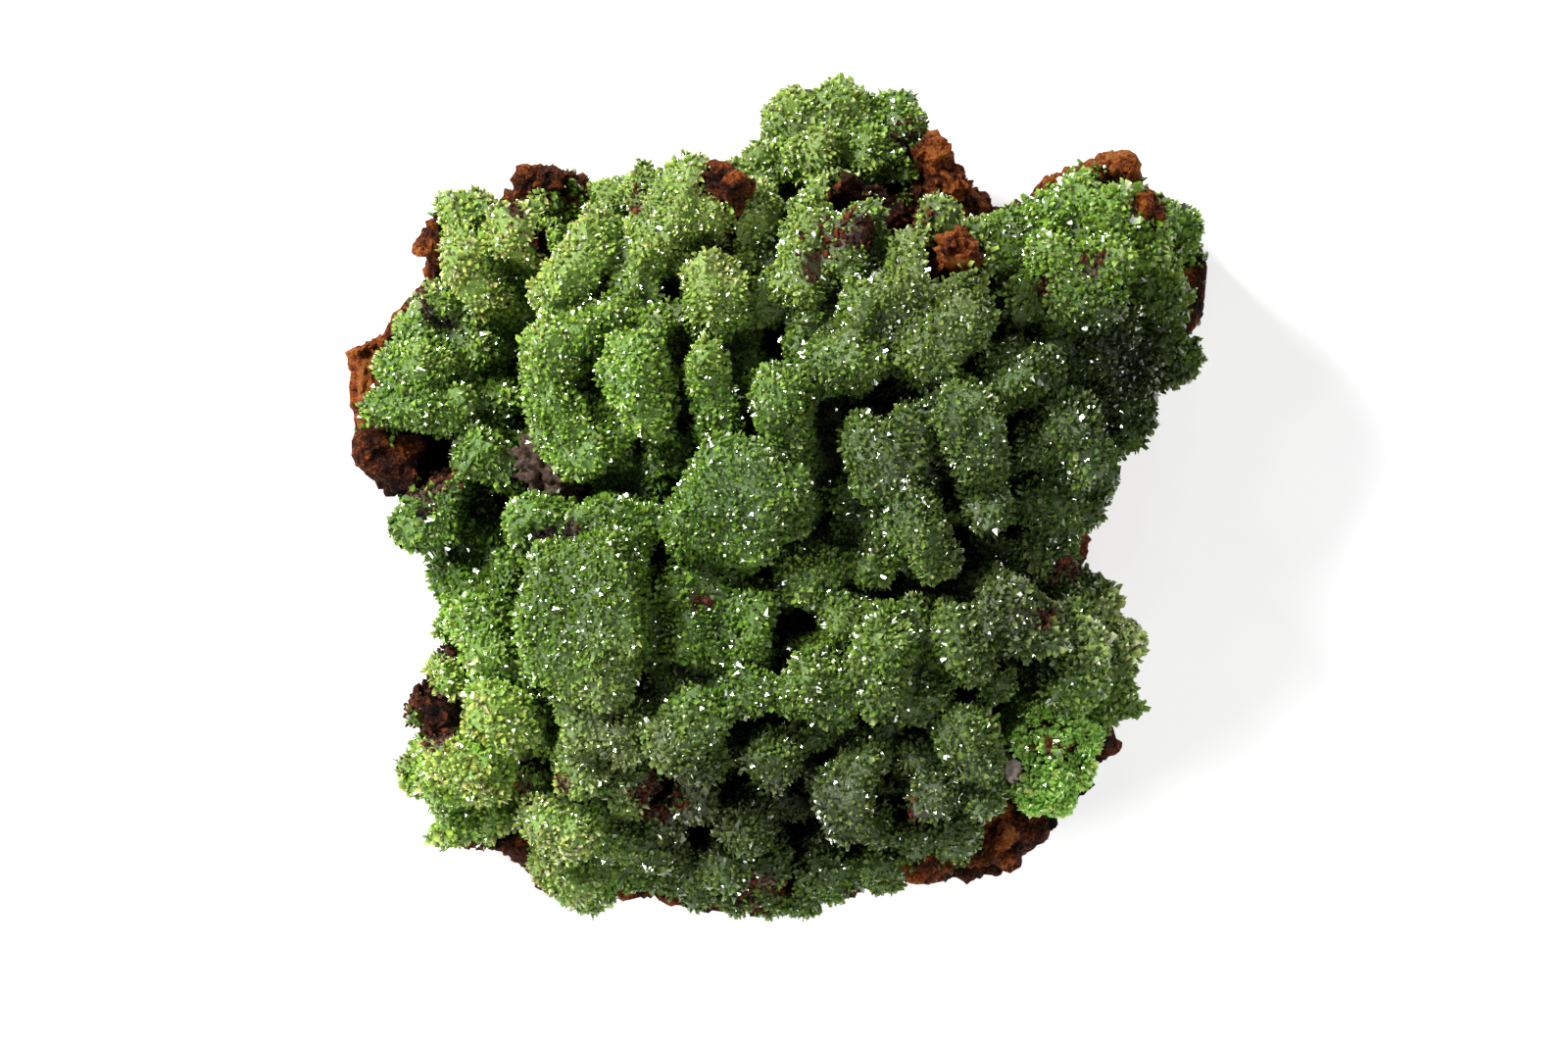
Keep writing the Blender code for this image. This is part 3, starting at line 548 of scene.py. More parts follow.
# Painted shade: the bed's green is darkened throughout, and most in the valleys.
bed_painted_shade = np.clip(BED_PAINTED_SHADE + BED_PAINTED_SHADE_CONTRAST * relief, *BED_PAINTED_SHADE_RANGE)
bed_green_and_painted_shade = green_at(bed_points) * bed_painted_shade[:, None]
store(bed_mesh, "tint", np.where(bed_rust[:, None] > RUSTED, np.array(UMBER), bed_green_and_painted_shade))
# The bed is shown with fewer faces. The crystals are placed on all the corners of bed_mesh.
bed = own("austinite_bed", thinned(bed_mesh, BED_FACES), bed_finish)
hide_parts("austinite_crust")

# The crystals: stubby glassy teeth less than a millimetre long, with chisel and pointed tips.
# They stand in small sprays on every lump, so thickly that the bed hardly shows between them.
CRYSTAL_LENGTH = 0.70
# How much of a crystal's length is in the bed, its least and greatest half width as shares of its
# length, and the thickness of the flattest as a share of the width.
SINK = 0.38
SLIM = 0.25
STOUT = 0.40
FLATTEST = 0.55
LENGTH_VARIETY = 0.25
SITE_SCATTER = 0.15
# Sprays: how many crystals, how far they reach, how they fan out, and how far each strays from that.
SPRAY_CRYSTALS = 9
SPRAY_REACH = 0.8
SPRAY_FAN = 0.35
SPRAY_STRAY = 0.4
# How light the colour is painted at the root, dark as painted shade, and at the tip, light as
# painted light; how pale the tips are, partly their own colour and partly a painted highlight,
# and of what hue. Where the tips are paler, they are less light, which keeps them from turning white.
ROOT_PAINTED_SHADE = 0.02
TIP_PAINTED_LIGHT = 1.3
PALE_LOSS = 0.7
TIP_PALENESS_AND_PAINTED_HIGHLIGHT = 0.22
PALE_AND_PAINTED_HIGHLIGHT_HUE = (1.0, 1.2, 0.4)
# How much the crystals differ in hue, and which way: more red with less blue.
HUE_VARIETY = 0.08
WARMER = (1.0, 0.0, -0.3)
PIECE_CRYSTALS = 24000
# The shapes of crystals: corners, whose last number is the share of the length, and triangles.
CHISEL = (
    ((-1, -1, 0), (1, -1, 0), (1, 1, 0), (-1, 1, 0), (-0.7, 0.1, 1), (0.7, -0.1, 0.95)),
    ((0, 1, 5), (0, 5, 4), (2, 3, 4), (2, 4, 5), (1, 2, 5), (3, 0, 4), (0, 3, 2), (0, 2, 1)),
)
POINT = (
    ((0, 0, 0), (-1, 0, 0.55), (0, -1, 0.6), (1, 0, 0.55), (0, 1, 0.6), (0.1, 0, 1)),
    ((0, 2, 1), (0, 3, 2), (0, 4, 3), (0, 1, 4), (5, 1, 2), (5, 2, 3), (5, 3, 4), (5, 4, 1)),
)
TOOTH = (
    ((-1, -0.9, 0), (1, -0.8, 0), (0.9, 1, 0), (-0.8, 0.9, 0), (0.1, 0, 1)),
    ((0, 1, 4), (1, 2, 4), (2, 3, 4), (3, 0, 4), (0, 3, 2), (0, 2, 1)),
)
BLOCK = (
    ((-1, -0.8, 0), (1, -0.7, 0), (0, 1, 0), (-0.7, -0.6, 0.9), (0.75, -0.5, 0.8), (0, 0.7, 1)),
    ((0, 1, 4), (0, 4, 3), (1, 2, 5), (1, 5, 4), (2, 0, 3), (2, 3, 5), (3, 4, 5), (0, 2, 1)),
)
SPLINTER = (
    ((-1, -0.7, 0.1), (1, -0.6, 0.2), (0, 1, 0.1), (0.2, 0, 1)),
    ((0, 1, 3), (1, 2, 3), (2, 0, 3), (0, 2, 1)),
)
# Where the crystals are larger (+) or finer (-) than the rest: x, y, spread, share.
COARSE_PATCHES = (
    (36.0, -14.0, 5.0, 0.35),
    (40.0, 14.0, 5.0, 0.4),
    (37.0, 26.0, 6.0, 0.2),
    (24.0, -14.0, 7.0, 0.2),
    (-12.0, -30.0, 8.0, 0.15),
    (-32.0, -26.0, 7.0, 0.15),
    (-8.0, 26.0, 10.0, -0.15),
)
chance = np.random.default_rng(14)


def unit(vectors):
    """Vectors made one long."""
    return vectors / np.maximum(np.linalg.norm(vectors, axis=1), 1e-9)[:, None]


def mesh_from(name, points, triangles):
    """A flat-faced mesh of triangles, each of three of the points."""
    mesh = bpy.data.meshes.new(name)
    mesh.vertices.add(len(points))
    mesh.loops.add(3 * len(triangles))
    mesh.polygons.add(len(triangles))
    mesh.loops.foreach_set("vertex_index", triangles.astype(np.int32).ravel())
    mesh.polygons.foreach_set("loop_start", np.arange(0, 3 * len(triangles), 3, dtype=np.int32))
    place_points(mesh, points)
    mesh.update(calc_edges=True)
    mesh.validate()
    mesh.shade_flat()
    return mesh


def sprays(sites, normals):
    """Directions that fan out from scattered centres, so that the crystals stand in sprays."""
    centres = sites[chance.choice(len(sites), len(sites) // SPRAY_CRYSTALS, replace=False)]
    tree = kdtree.KDTree(len(centres))
    for number, centre in enumerate(centres):
        tree.insert(Vector(centre), number)
    tree.balance()
    nearest = np.array([tree.find(Vector(site))[0] for site in sites])
    away = (sites - nearest) / (SPRAY_REACH * MM)
    return unit(normals + SPRAY_FAN * away + SPRAY_STRAY * chance.normal(size=sites.shape))


def crystals(sites, axes, lengths, widths, colours, shape, paleness_and_painted_highlight):
    """The points, triangles and colours of one crystal of a shape at each site.

    Each is painted dark at its root, as shade, and light at its tip, as if lit, and whiter there where it
    is a pale kind, partly as a painted highlight."""
    corners = np.array(shape[0], float)
    faces = np.array(shape[1])
    heights = corners[:, 2]
    count = len(sites)
    side = unit(np.cross(axes, chance.normal(size=(count, 3))))
    other = np.cross(axes, side)
    thick = widths * chance.uniform(FLATTEST, 1.0, count)
    along = heights[None, :] * lengths[:, None] - SINK * lengths[:, None]
    points = (
        sites[:, None, :]
        + side[:, None, :] * (corners[:, 0][None, :] * widths[:, None])[:, :, None]
        + other[:, None, :] * (corners[:, 1][None, :] * thick[:, None])[:, :, None]
        + axes[:, None, :] * along[:, :, None]
    )
    triangles = faces[None] + (np.arange(count) * len(corners))[:, None, None]
    # Painted shade and light: each crystal runs from dark at its root to light at its tip, and its paler
    # tip is partly a painted highlight.
    light = ROOT_PAINTED_SHADE + (TIP_PAINTED_LIGHT - PALE_LOSS * paleness_and_painted_highlight) * heights
    tints = colours[:, None, :] * light[None, :, None]
    whiter_and_painted_highlight = paleness_and_painted_highlight * colours.mean(axis=1)[:, None, None] * heights[None, :, None]
    tints = np.minimum(tints + whiter_and_painted_highlight * np.array(PALE_AND_PAINTED_HIGHLIGHT_HUE), 0.98)
    return points.reshape(-1, 3), triangles.reshape(-1, 3), tints.reshape(-1, 3)


def sizes(size, variety, count):
    """Sizes in metres that scatter about a size in millimetres, with none far from it."""
    return size * MM * np.exp(variety * np.clip(chance.normal(size=count), -2.0, 2.0))


def tinted(colours, variety):
    """The colours with each crystal a little its own, lighter or darker and redder or bluer."""
    count = len(colours)
    brightness = np.exp(variety * chance.normal(size=count))[:, None]
    warm = 1 + HUE_VARIETY * chance.normal(size=count)[:, None] * np.array(WARMER)
    return np.clip(colours * brightness * warm, 0.004, 0.95)


def grow(name, sites, axes, lengths, widths, colours, habits, finish, paleness_and_painted_highlight=0.0):
    """A piece of crystals standing on sites, each of one of some habits, (shape, share) each."""
    shares = np.array([share for _, share in habits])
    habit = chance.choice(len(habits), len(sites), p=shares)
    points, triangles, tints = [], [], []
    start = 0
    for kind, (shape, _) in enumerate(habits):
        chosen = habit == kind
        made = crystals(
            sites[chosen], axes[chosen], lengths[chosen], widths[chosen], colours[chosen], shape, paleness_and_painted_highlight)
        points.append(made[0])
        triangles.append(made[1] + start)
        tints.append(made[2])
        start += len(made[0])
    mesh = mesh_from(name, np.concatenate(points), np.concatenate(triangles))
    store(mesh, "tint", np.concatenate(tints))
    piece = own(name, mesh, finish)


glassy = Finish("austinite_crystals", {
    "Roughness": 0.12, "IOR": 1.76, "Transmission Weight": 0.3,
})
frost = glassy.cloud(0.25, 2.0, 0.6)
veil = glassy.ramp(frost, ((0.3, (0.3, 0.4, 0.2)), (0.7, (1.0, 1.0, 1.0))))
glassy.feed("Base Color", glassy.shaded(0.25, glassy.stored("tint"), veil))

rock_tree = tree_of("limonite_matrix")
# No crystal grows where the bed faces down more than this, or on a steep side turned to rock this near.
FACING_DOWN = -0.45
STEEP = 0.2
ROCK_NEAR = 1.6
TURNED_TO_ROCK = 0.5


def open_corners(mesh):
    """Which of a bed's corners face the open, and not down onto the rock."""
    points = points_of(mesh)
    normals = normals_of(mesh)
    keep = normals[:, 2] > FACING_DOWN
    for number in np.flatnonzero(keep & (normals[:, 2] < STEEP)):
        hit = rock_tree.find_nearest(Vector(points[number]), ROCK_NEAR * MM)
        if hit[0] is not None:
            toward = (hit[0] - Vector(points[number])).normalized()
            keep[number] = toward.dot(Vector(normals[number])) < TURNED_TO_ROCK
    return keep


# Where crystals have spread over the rock: x, y, spread, amount.
OVERGROWN = (
    (-25.8, 27.0, 2.2, 2.5),
    (-21.3, 27.2, 2.2, 2.5),
    (-18.6, 31.0, 1.4, 2.0),
    (9.2, 30.0, 1.0, 0.8),
    (-40.0, 9.6, 1.6, 1.2),
    (13.0, 31.0, 0.8, 1.1),
    (-38.5, -19.0, 1.2, 1.0),
)
# How much of them makes a patch of crystals, how ragged that is, and the share of corners that carry one.
OVERGROWN_LEVEL = 0.55
OVERGROWN_RAGGEDNESS = 0.5
OVERGROWN_SHARE = 0.55
# How far crystals reach over the rock from the crust, how ragged that edge is, and how much less far
# they reach over sunken rock.
EDGE_REACH = 0.7
RAGGEDNESS = 1.5
SUNKEN_LOSS = 1.5
# Rock lower than this, or facing down more than this, carries no crystals.
LOWEST_CRYSTAL = 2.0
ROCK_FACING_DOWN = -0.3


def overgrown():
    """Which of the rock's corners carry crystals: a ragged edge round the crust, and some patches."""
    ragged = EDGE_REACH + RAGGEDNESS * swell_at(rock_skin, 1.8, 3, 3.0)
    ragged = ragged - SUNKEN_LOSS * patches_at(rock_skin, SUNKEN)
    level = OVERGROWN_LEVEL + OVERGROWN_RAGGEDNESS * swell_at(rock_skin, 1.2, 2, 4.0)
    grown = patches_at(rock_skin, OVERGROWN) > level
    is_bare = bared > 0.5
    for number in np.flatnonzero(is_bare & (rock_skin[:, 2] > LOWEST_CRYSTAL * MM) & (ragged > 0)):
        hit = crust_tree.find_nearest(Vector(rock_skin[number]), ragged[number] * MM)
        grown[number] |= hit[0] is not None
    grown &= is_bare & (rock_normals[:, 2] > ROCK_FACING_DOWN)
    return grown & (chance.random(len(grown)) < OVERGROWN_SHARE)


HABITS = ((SPLINTER, 0.1), (TOOTH, 0.25), (BLOCK, 0.5), (CHISEL, 0.1), (POINT, 0.05))
# Painted light: the paler colour that the green turns to on the tops of the lumps, as if lit,
# and by how much for each millimetre.
SUMMIT_PAINTED_LIGHT = (0.37, 0.46, 0.12)
SUMMIT_PAINTED_LIGHT_SLOPE = 0.25
SUMMIT_PAINTED_LIGHT_MOST = 0.45
# The colour that frosted crystals turn halfway to, partly their own pale grey-green and partly
# painted glints, and how many of them there are.
FROST_AND_PAINTED_GLINT = (0.58, 0.70, 0.30)
FROST_AND_PAINTED_GLINT_COVER = 0.5
FROST_AND_PAINTED_GLINT_SHARE = 0.14
# Crystals are painted darker in the valleys and lighter on the lumps, as painted shade and light:
# their tone, contrast and range.
CRYSTAL_PAINTED_SHADING = 0.83
CRYSTAL_PAINTED_SHADING_CONTRAST = 0.36
CRYSTAL_PAINTED_SHADING_RANGE = (0.10, 1.17)
CRYSTAL_VARIETY = 0.12
# Where more of the crystals are pale, partly as painted glints: x, y, spread, how much more.
PALE_AND_PAINTED_GLINT_PATCHES = (
    (20.0, -10.0, 13.0, 1.2),
    (-14.0, -27.0, 5.0, 1.0),
    (-33.0, 5.0, 5.0, 0.6),
)
is_open = open_corners(bed_mesh)
grown_over = is_open & (bed_rust < BARE)
on_rock = overgrown()
bed_normals = normals_of(bed_mesh)
sites = np.concatenate([bed_points[grown_over], rock_skin[on_rock]])
sites = sites + chance.normal(size=sites.shape) * SITE_SCATTER * MM
normals = np.concatenate([bed_normals[grown_over], rock_normals[on_rock]])
heights = np.concatenate([relief[grown_over], np.zeros(on_rock.sum())])
axes = sprays(sites, normals)
coarse = 1 + patches_at(sites, COARSE_PATCHES)
lengths = coarse * sizes(CRYSTAL_LENGTH, LENGTH_VARIETY, len(sites))
widths = lengths * chance.uniform(SLIM, STOUT, len(sites))
# Painted light: crystals on the tops of the lumps turn paler and lighter, as if lit.
summit_painted_light = np.clip(SUMMIT_PAINTED_LIGHT_SLOPE * heights, 0.0, SUMMIT_PAINTED_LIGHT_MOST)[:, None]
local = green_at(sites)
summit_painted_light_colours = 1.15 * np.array(SUMMIT_PAINTED_LIGHT) * (local.sum(axis=1) / 0.5)[:, None]
local = local * (1 - summit_painted_light) + summit_painted_light_colours * summit_painted_light
# Partly painted glints: a share of the crystals turns halfway to a pale frosted colour.
pale_and_painted_glint_share = FROST_AND_PAINTED_GLINT_SHARE * (1 + patches_at(sites, PALE_AND_PAINTED_GLINT_PATCHES))
frosted_and_painted_glint = FROST_AND_PAINTED_GLINT_COVER * (chance.random(len(sites)) < pale_and_painted_glint_share)[:, None]
frost_and_painted_glint_colours = np.array(FROST_AND_PAINTED_GLINT) * (0.25 + local.sum(axis=1) / 1.1)[:, None]
local = local * (1 - frosted_and_painted_glint) + frost_and_painted_glint_colours * frosted_and_painted_glint
# Painted shade and light: crystals are darkened in the valleys and lightened on the lumps.
local = local * np.clip(CRYSTAL_PAINTED_SHADING + CRYSTAL_PAINTED_SHADING_CONTRAST * heights, *CRYSTAL_PAINTED_SHADING_RANGE)[:, None]
colours = tinted(local, CRYSTAL_VARIETY)
order = np.argsort(sites[:, 0])
parts = int(np.ceil(len(sites) / PIECE_CRYSTALS))
for number, chosen in enumerate(np.array_split(order, parts)):
    grow(f"crystals_{number + 1}", sites[chosen], axes[chosen], lengths[chosen], widths[chosen],
         colours[chosen], HABITS, glassy, TIP_PALENESS_AND_PAINTED_HIGHLIGHT)

# Clear plates: the last growth of the crystals is colourless and ends in small flat faces.
# They lie near level, leaning a little one way or another, and glint under the lamps.
PLATE_SHARE = 0.20
PLATE_SIZE = 0.15
# Where a plate starts, as a share of its crystal's length.
PLATE_REACH = 0.56
PLATE_LEAN = 0.32
# Half of them lean toward the large lamp: its direction in radians, and how much more they lean.
KEY_TURN = 2.41
KEY_SHARE = 0.5
KEY_LEAN = 1.5
KEY_STRAY = 0.2
LEAN_STRAY = 0.08
PLATE_VARIETY = 0.3
ICE = (0.60, 0.78, 0.36)
PLATE = (
    ((-1, -0.9, 1), (1.1, -0.7, 0.97), (-0.1, 1.1, 1), (0, 0, 0)),
    ((0, 1, 2), (3, 1, 0), (3, 2, 1), (3, 0, 2)),
)
clear = Finish("austinite_plates", {
    "Roughness": 0.1, "IOR": 1.76, "Transmission Weight": 0.8, "Specular IOR Level": 1.0,
})
bloom = clear.cloud(0.4, 2.0, 0.5)
clear.feed("Base Color", clear.ramp(bloom, ((0.3, (0.34, 0.52, 0.14)), (0.6, ICE))))
plated = chance.random(len(sites)) < PLATE_SHARE
plate_sites = sites[plated] + axes[plated] * (PLATE_REACH * lengths[plated])[:, None]


def leaning(turns, leans):
    """Directions that lean from the vertical, each toward a turn in radians by a slope."""
    return unit(np.column_stack([leans * np.cos(turns), leans * np.sin(turns), np.ones(len(turns))]))


turns = chance.uniform(0, 2 * np.pi, len(plate_sites))
toward_key = chance.random(len(plate_sites)) < KEY_SHARE
turns = np.where(toward_key, KEY_TURN + KEY_STRAY * chance.normal(size=len(turns)), turns)
leans = np.where(toward_key, KEY_LEAN, 1.0) * PLATE_LEAN + LEAN_STRAY * chance.normal(size=len(turns))
plate_axes = leaning(turns, leans)
plate_lengths = sizes(PLATE_SIZE, PLATE_VARIETY, len(plate_sites))
plate_widths = plate_lengths * chance.uniform(0.6, 1.0, len(plate_sites))
plate_colours = np.tile(np.array(ICE), (len(plate_sites), 1))
grow("clear_plates", plate_sites, plate_axes, plate_lengths, plate_widths, plate_colours,
     ((PLATE, 1.0),), clear)

# Rust crumbs: grains of limonite and of black oxide that stuck to the crust where no crystal grew.
# Each is a rough little block, partly sunk in the bed.
CRUMB_SIZE = 0.48
CRUMB_VARIETY = 0.35
CRUMB_SCATTER = 0.12
CRUMB_STRAY = 0.5
CRUMB_SLIM = 0.3
CRUMB_STOUT = 0.5
CRUMB_TINTS = 0.3
CRUMB = (
    (
        (-1, -0.8, 0), (1, -1, 0.1), (0.9, 1, 0), (-1, 0.9, 0.1),
        (-0.7, -0.9, 0.7), (0.8, -0.6, 0.9), (0.6, 0.8, 0.6), (-0.8, 0.6, 1.0),
    ),
    (
        (0, 1, 5), (0, 5, 4), (1, 2, 6), (1, 6, 5), (2, 3, 7), (2, 7, 6),
        (3, 0, 4), (3, 4, 7), (4, 5, 7), (5, 6, 7), (0, 3, 2), (0, 2, 1),
    ),
)
crumb_finish = Finish("rust_crumbs", {"Roughness": 0.85, "Specular IOR Level": 0.3})
crumb_grain = crumb_finish.cloud(0.4, 3.0, 0.7)
crumb_shade = crumb_finish.ramp(crumb_grain, ((0.3, (0.3, 0.3, 0.3)), (0.7, (1.3, 1.3, 1.3))))
crumb_finish.feed("Base Color", crumb_finish.shaded(1.0, crumb_finish.stored("tint"), crumb_shade))
crumb_finish.rough_up(crumb_grain, 0.15)
rusty = is_open & (bed_rust >= RUSTED)
crumb_sites = (bed_points + chance.normal(size=bed_points.shape) * CRUMB_SCATTER * MM)[rusty]
crumb_axes = unit(bed_normals[rusty] + CRUMB_STRAY * chance.normal(size=crumb_sites.shape))
crumb_lengths = sizes(CRUMB_SIZE, CRUMB_VARIETY, len(crumb_sites))
crumb_widths = crumb_lengths * chance.uniform(CRUMB_SLIM, CRUMB_STOUT, len(crumb_sites))
mixed = chance.random(len(crumb_sites))[:, None]
sooty = np.minimum(1.0, 1.6 * patches_at(crumb_sites, BLACK_PATCHES))[:, None]
crumb_colours = np.array(UMBER) * (1 - mixed) + 1.2 * np.array(RUST) * mixed
crumb_colours = tinted(crumb_colours * (1 - sooty) + 2.0 * np.array(SOOT) * sooty, CRUMB_TINTS)
grow("rust_crumbs", crumb_sites, crumb_axes, crumb_lengths, crumb_widths, crumb_colours,
     ((CRUMB, 1.0),), crumb_finish)

# The rosette: a younger, flatter cluster of lime-green crystals in short radial sprays.
# It sits on the rock at the lower right, with rusty gaps between its sprays.
# Painted light: the rosette's own lime green, made brighter so that it looks lit although lumps at its
# upper left shade it.
LIME_AND_PAINTED_LIGHT = (0.43, 0.97, 0.14)
ROSETTE_INSET = 0.45
ROSETTE_SKIN = 0.3
ROSETTE_RIPPLE = 0.25
ROSETTE_SHARPENING = 0.4
ROSETTE_FACES = 16000
PETAL_LENGTH = 0.66
PETAL_SCATTER = 0.12
PETAL_SLIM = 0.3
PETAL_STOUT = 0.5
PETAL_VARIETY = 0.2
# Partly a painted highlight: how pale the petals' tips are.
PETAL_PALENESS_AND_PAINTED_HIGHLIGHT = 0.2
PETAL_STRAY = 0.25
PETAL_HABITS = ((TOOTH, 0.3), (BLOCK, 0.5), (CHISEL, 0.2))
# How far from the heart of its spray a petal leans by PETAL_LEAN.
PETAL_REACH = 1.6
PETAL_LEAN = 0.5
# All petals lean a little to the upper left and upward.
PETAL_TURN = (-0.3, 0.25, 0.6)
# The share of petals that end in a clear plate, and of those plates that lean toward the large lamp.
PETAL_ICE = 0.12
ICE_KEY_SHARE = 0.6
# The hearts of its seven sprays: x, y.
ROSETTE_HEARTS = (
    (28.6, -23.6),
    (31.0, -25.2),
    (26.2, -22.8),
    (25.6, -26.0),
    (28.4, -27.6),
    (31.0, -28.0),
    (26.4, -29.6),
)
# Where the rusty gaps are widest: x, y, spread, amount.
WIDE_GAPS = ((28.6, -25.6, 2.4, 1.0),)
GAP_LEVEL = 0.62
GAP_DEPTH = 0.5
# Grains of rust in the gaps: their size, variety, share of the gaps, stray and half width.
GRIT_SIZE = 0.4
GRIT_VARIETY = 0.3
GRIT_SHARE = 0.5
GRIT_STRAY = 0.4
GRIT_WIDTH = 0.45
rosette_finish = Finish("rosette_bed", {"Roughness": 0.6, "IOR": 1.5})
gaps = rosette_finish.cloud(0.8, 3.0, 0.6)
gap_shade = rosette_finish.ramp(gaps, ((0.35, (0.4, 0.4, 0.4)), (0.7, (1.0, 1.0, 1.0))))
rosette_finish.feed("Base Color", rosette_finish.shaded(1.0, rosette_finish.stored("tint"), gap_shade))
rosette_finish.rough_up(gaps, 0.2)
lime_glass = Finish("lime_crystals", {"Roughness": 0.15, "IOR": 1.76, "Transmission Weight": 0.08})
haze = lime_glass.cloud(0.25, 2.0, 0.6)
lime_veil = lime_glass.ramp(haze, ((0.3, (0.5, 0.7, 0.4)), (0.7, (1.0, 1.0, 1.0))))
lime_glass.feed("Base Color", lime_glass.shaded(0.25, lime_glass.stored("tint"), lime_veil))
rosette_mesh = bed_of(
    "austinite_rosette", ROSETTE_INSET, ROSETTE_SKIN, ROSETTE_RIPPLE, ROSETTE_SHARPENING)[0]
rosette_points = points_of(rosette_mesh)
rosette_normals = normals_of(rosette_mesh)
hole = swell_at(rosette_points, 1.0, 3, 9.0) + 0.8 * patches_at(rosette_points, WIDE_GAPS) > GAP_LEVEL
place_points(rosette_mesh, rosette_points - rosette_normals * (GAP_DEPTH * hole * MM)[:, None])
rosette_points = points_of(rosette_mesh)
store(rosette_mesh, "tint", np.where(hole[:, None], np.array(UMBER), 0.7 * np.array(LIME_AND_PAINTED_LIGHT)))
blooming = open_corners(rosette_mesh) & ~hole
petal_sites = (rosette_points + chance.normal(size=rosette_points.shape) * PETAL_SCATTER * MM)[blooming]
hearts = np.array(ROSETTE_HEARTS) * MM
from_hearts = petal_sites[:, None, :2] - hearts[None]
own_heart = np.argmin(np.sum(from_hearts**2, axis=2), axis=1)
outward = from_hearts[np.arange(len(petal_sites)), own_heart]
lean = np.column_stack([outward, np.zeros(len(outward))]) / (PETAL_REACH * MM)
petal_strays = PETAL_STRAY * chance.normal(size=petal_sites.shape)
petal_axes = rosette_normals[blooming] + PETAL_LEAN * lean + petal_strays
petal_axes = unit(petal_axes + np.array(PETAL_TURN))
petal_lengths = sizes(PETAL_LENGTH, LENGTH_VARIETY, len(petal_sites))
petal_widths = petal_lengths * chance.uniform(PETAL_SLIM, PETAL_STOUT, len(petal_sites))
petal_colours = tinted(np.tile(np.array(LIME_AND_PAINTED_LIGHT), (len(petal_sites), 1)), PETAL_VARIETY)
grow("rosette_crystals", petal_sites, petal_axes, petal_lengths, petal_widths, petal_colours,
     PETAL_HABITS, lime_glass, PETAL_PALENESS_AND_PAINTED_HIGHLIGHT)
icy = chance.random(len(petal_sites)) < PETAL_ICE
ice_sites = petal_sites[icy] + petal_axes[icy] * (PLATE_REACH * petal_lengths[icy])[:, None]
ice_to_key = chance.random(len(ice_sites)) < ICE_KEY_SHARE
ice_turns = np.where(ice_to_key, KEY_TURN, 2 * np.pi * chance.random(len(ice_sites)))
ice_axes = leaning(ice_turns, KEY_LEAN * PLATE_LEAN + LEAN_STRAY * chance.normal(size=len(ice_sites)))
ice_lengths = sizes(PLATE_SIZE, PLATE_VARIETY, len(ice_sites))
ice_colours = np.tile(np.array(ICE), (len(ice_sites), 1))
grow("rosette_plates", ice_sites, ice_axes, ice_lengths, 0.8 * ice_lengths, ice_colours,
     ((PLATE, 1.0),), clear)
gap = open_corners(rosette_mesh) & hole & (chance.random(len(hole)) < GRIT_SHARE)
grit_sites = rosette_points[gap]
grit_lengths = sizes(GRIT_SIZE, GRIT_VARIETY, len(grit_sites))
grit_mix = chance.random(len(grit_sites))[:, None]
grit_colours = 1.3 * np.array(RUST) * (1 - grit_mix) + 0.7 * np.array(ORANGE) * grit_mix
grit_colours = tinted(grit_colours, CRUMB_TINTS)
grit_axes = unit(rosette_normals[gap] + GRIT_STRAY * chance.normal(size=grit_sites.shape))
grow("rosette_grit", grit_sites, grit_axes, grit_lengths, GRIT_WIDTH * grit_lengths, grit_colours,
     ((CRUMB, 1.0),), crumb_finish)
rosette = own("rosette_bed", thinned(rosette_mesh, ROSETTE_FACES), rosette_finish)
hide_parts("austinite_rosette")

# The goethite nodule and pebble, and the black manganese beads: small rounded oxide growths.
# They sit in hollows of the crust and at the foot of the rosette, duller than the crystals there.
WART_SKIN = 0.14
WART_FACES = 9000
UMBER_GREY = (0.075, 0.043, 0.03)
goethite = Finish("goethite", {"Roughness": 0.7, "Specular IOR Level": 0.25})
rind = goethite.cloud(0.5, 4.0, 0.6)
goethite.feed("Base Color", goethite.ramp(
    rind, ((0.35, (0.015, 0.008, 0.005)), (0.55, UMBER_GREY), (0.8, (0.17, 0.11, 0.08)))))
goethite.rough_up(rind, 0.15)
pebble_finish = Finish("goethite_pebble", {"Roughness": 0.4})
skin = pebble_finish.cloud(0.6, 3.0, 0.5)
pebble_finish.feed("Base Color", pebble_finish.ramp(
    skin, ((0.3, (0.34, 0.25, 0.22)), (0.7, (0.72, 0.60, 0.56)))))
jet = Finish("manganese_oxide", {"Roughness": 0.35})
sheen = jet.cloud(0.6, 3.0, 0.6)
jet.feed("Base Color", jet.ramp(sheen, ((0.3, (0.008, 0.008, 0.01)), (0.8, (0.05, 0.05, 0.06)))))
jet.rough_up(sheen, 0.1)


def warts(node, finish, inset, size, height):
    """A small nodule, moved in (or out, below 0), with round warts of a size and a height all over."""
    mesh = remade(moved_in(node, inset), WART_SKIN, 3)
    points = points_of(mesh)
    bumps = height * (0.5 - cells_at(points, size))
    place_points(mesh, points + normals_of(mesh) * (bumps * MM)[:, None])
    mesh = thinned(mesh, WART_FACES)
    piece = own(node + "_warts", mesh, finish)
    for polygon in mesh.polygons:
        polygon.use_smooth = True
    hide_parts(node)


warts("goethite_nodule", goethite, inset=-0.35, size=1.15, height=2.4)
warts("goethite_pebble", pebble_finish, inset=-0.2, size=1.6, height=0.1)
warts("manganese_beads", jet, inset=0.1, size=0.9, height=0.3)

# The studio: a pale paper floor that glows faintly, and one large soft lamp at the upper left.
# Two weaker lamps fill in from the lower left and lower right. Its sizes and places are in metres.
FLOOR_SIZE = 3.0
FLOOR_GLOW = 0.55
FLOOR_DEPTH = 0.0002
SKY_GLOW = 0.03
LAMP_AIM = (0.0, 0.0, 0.02)
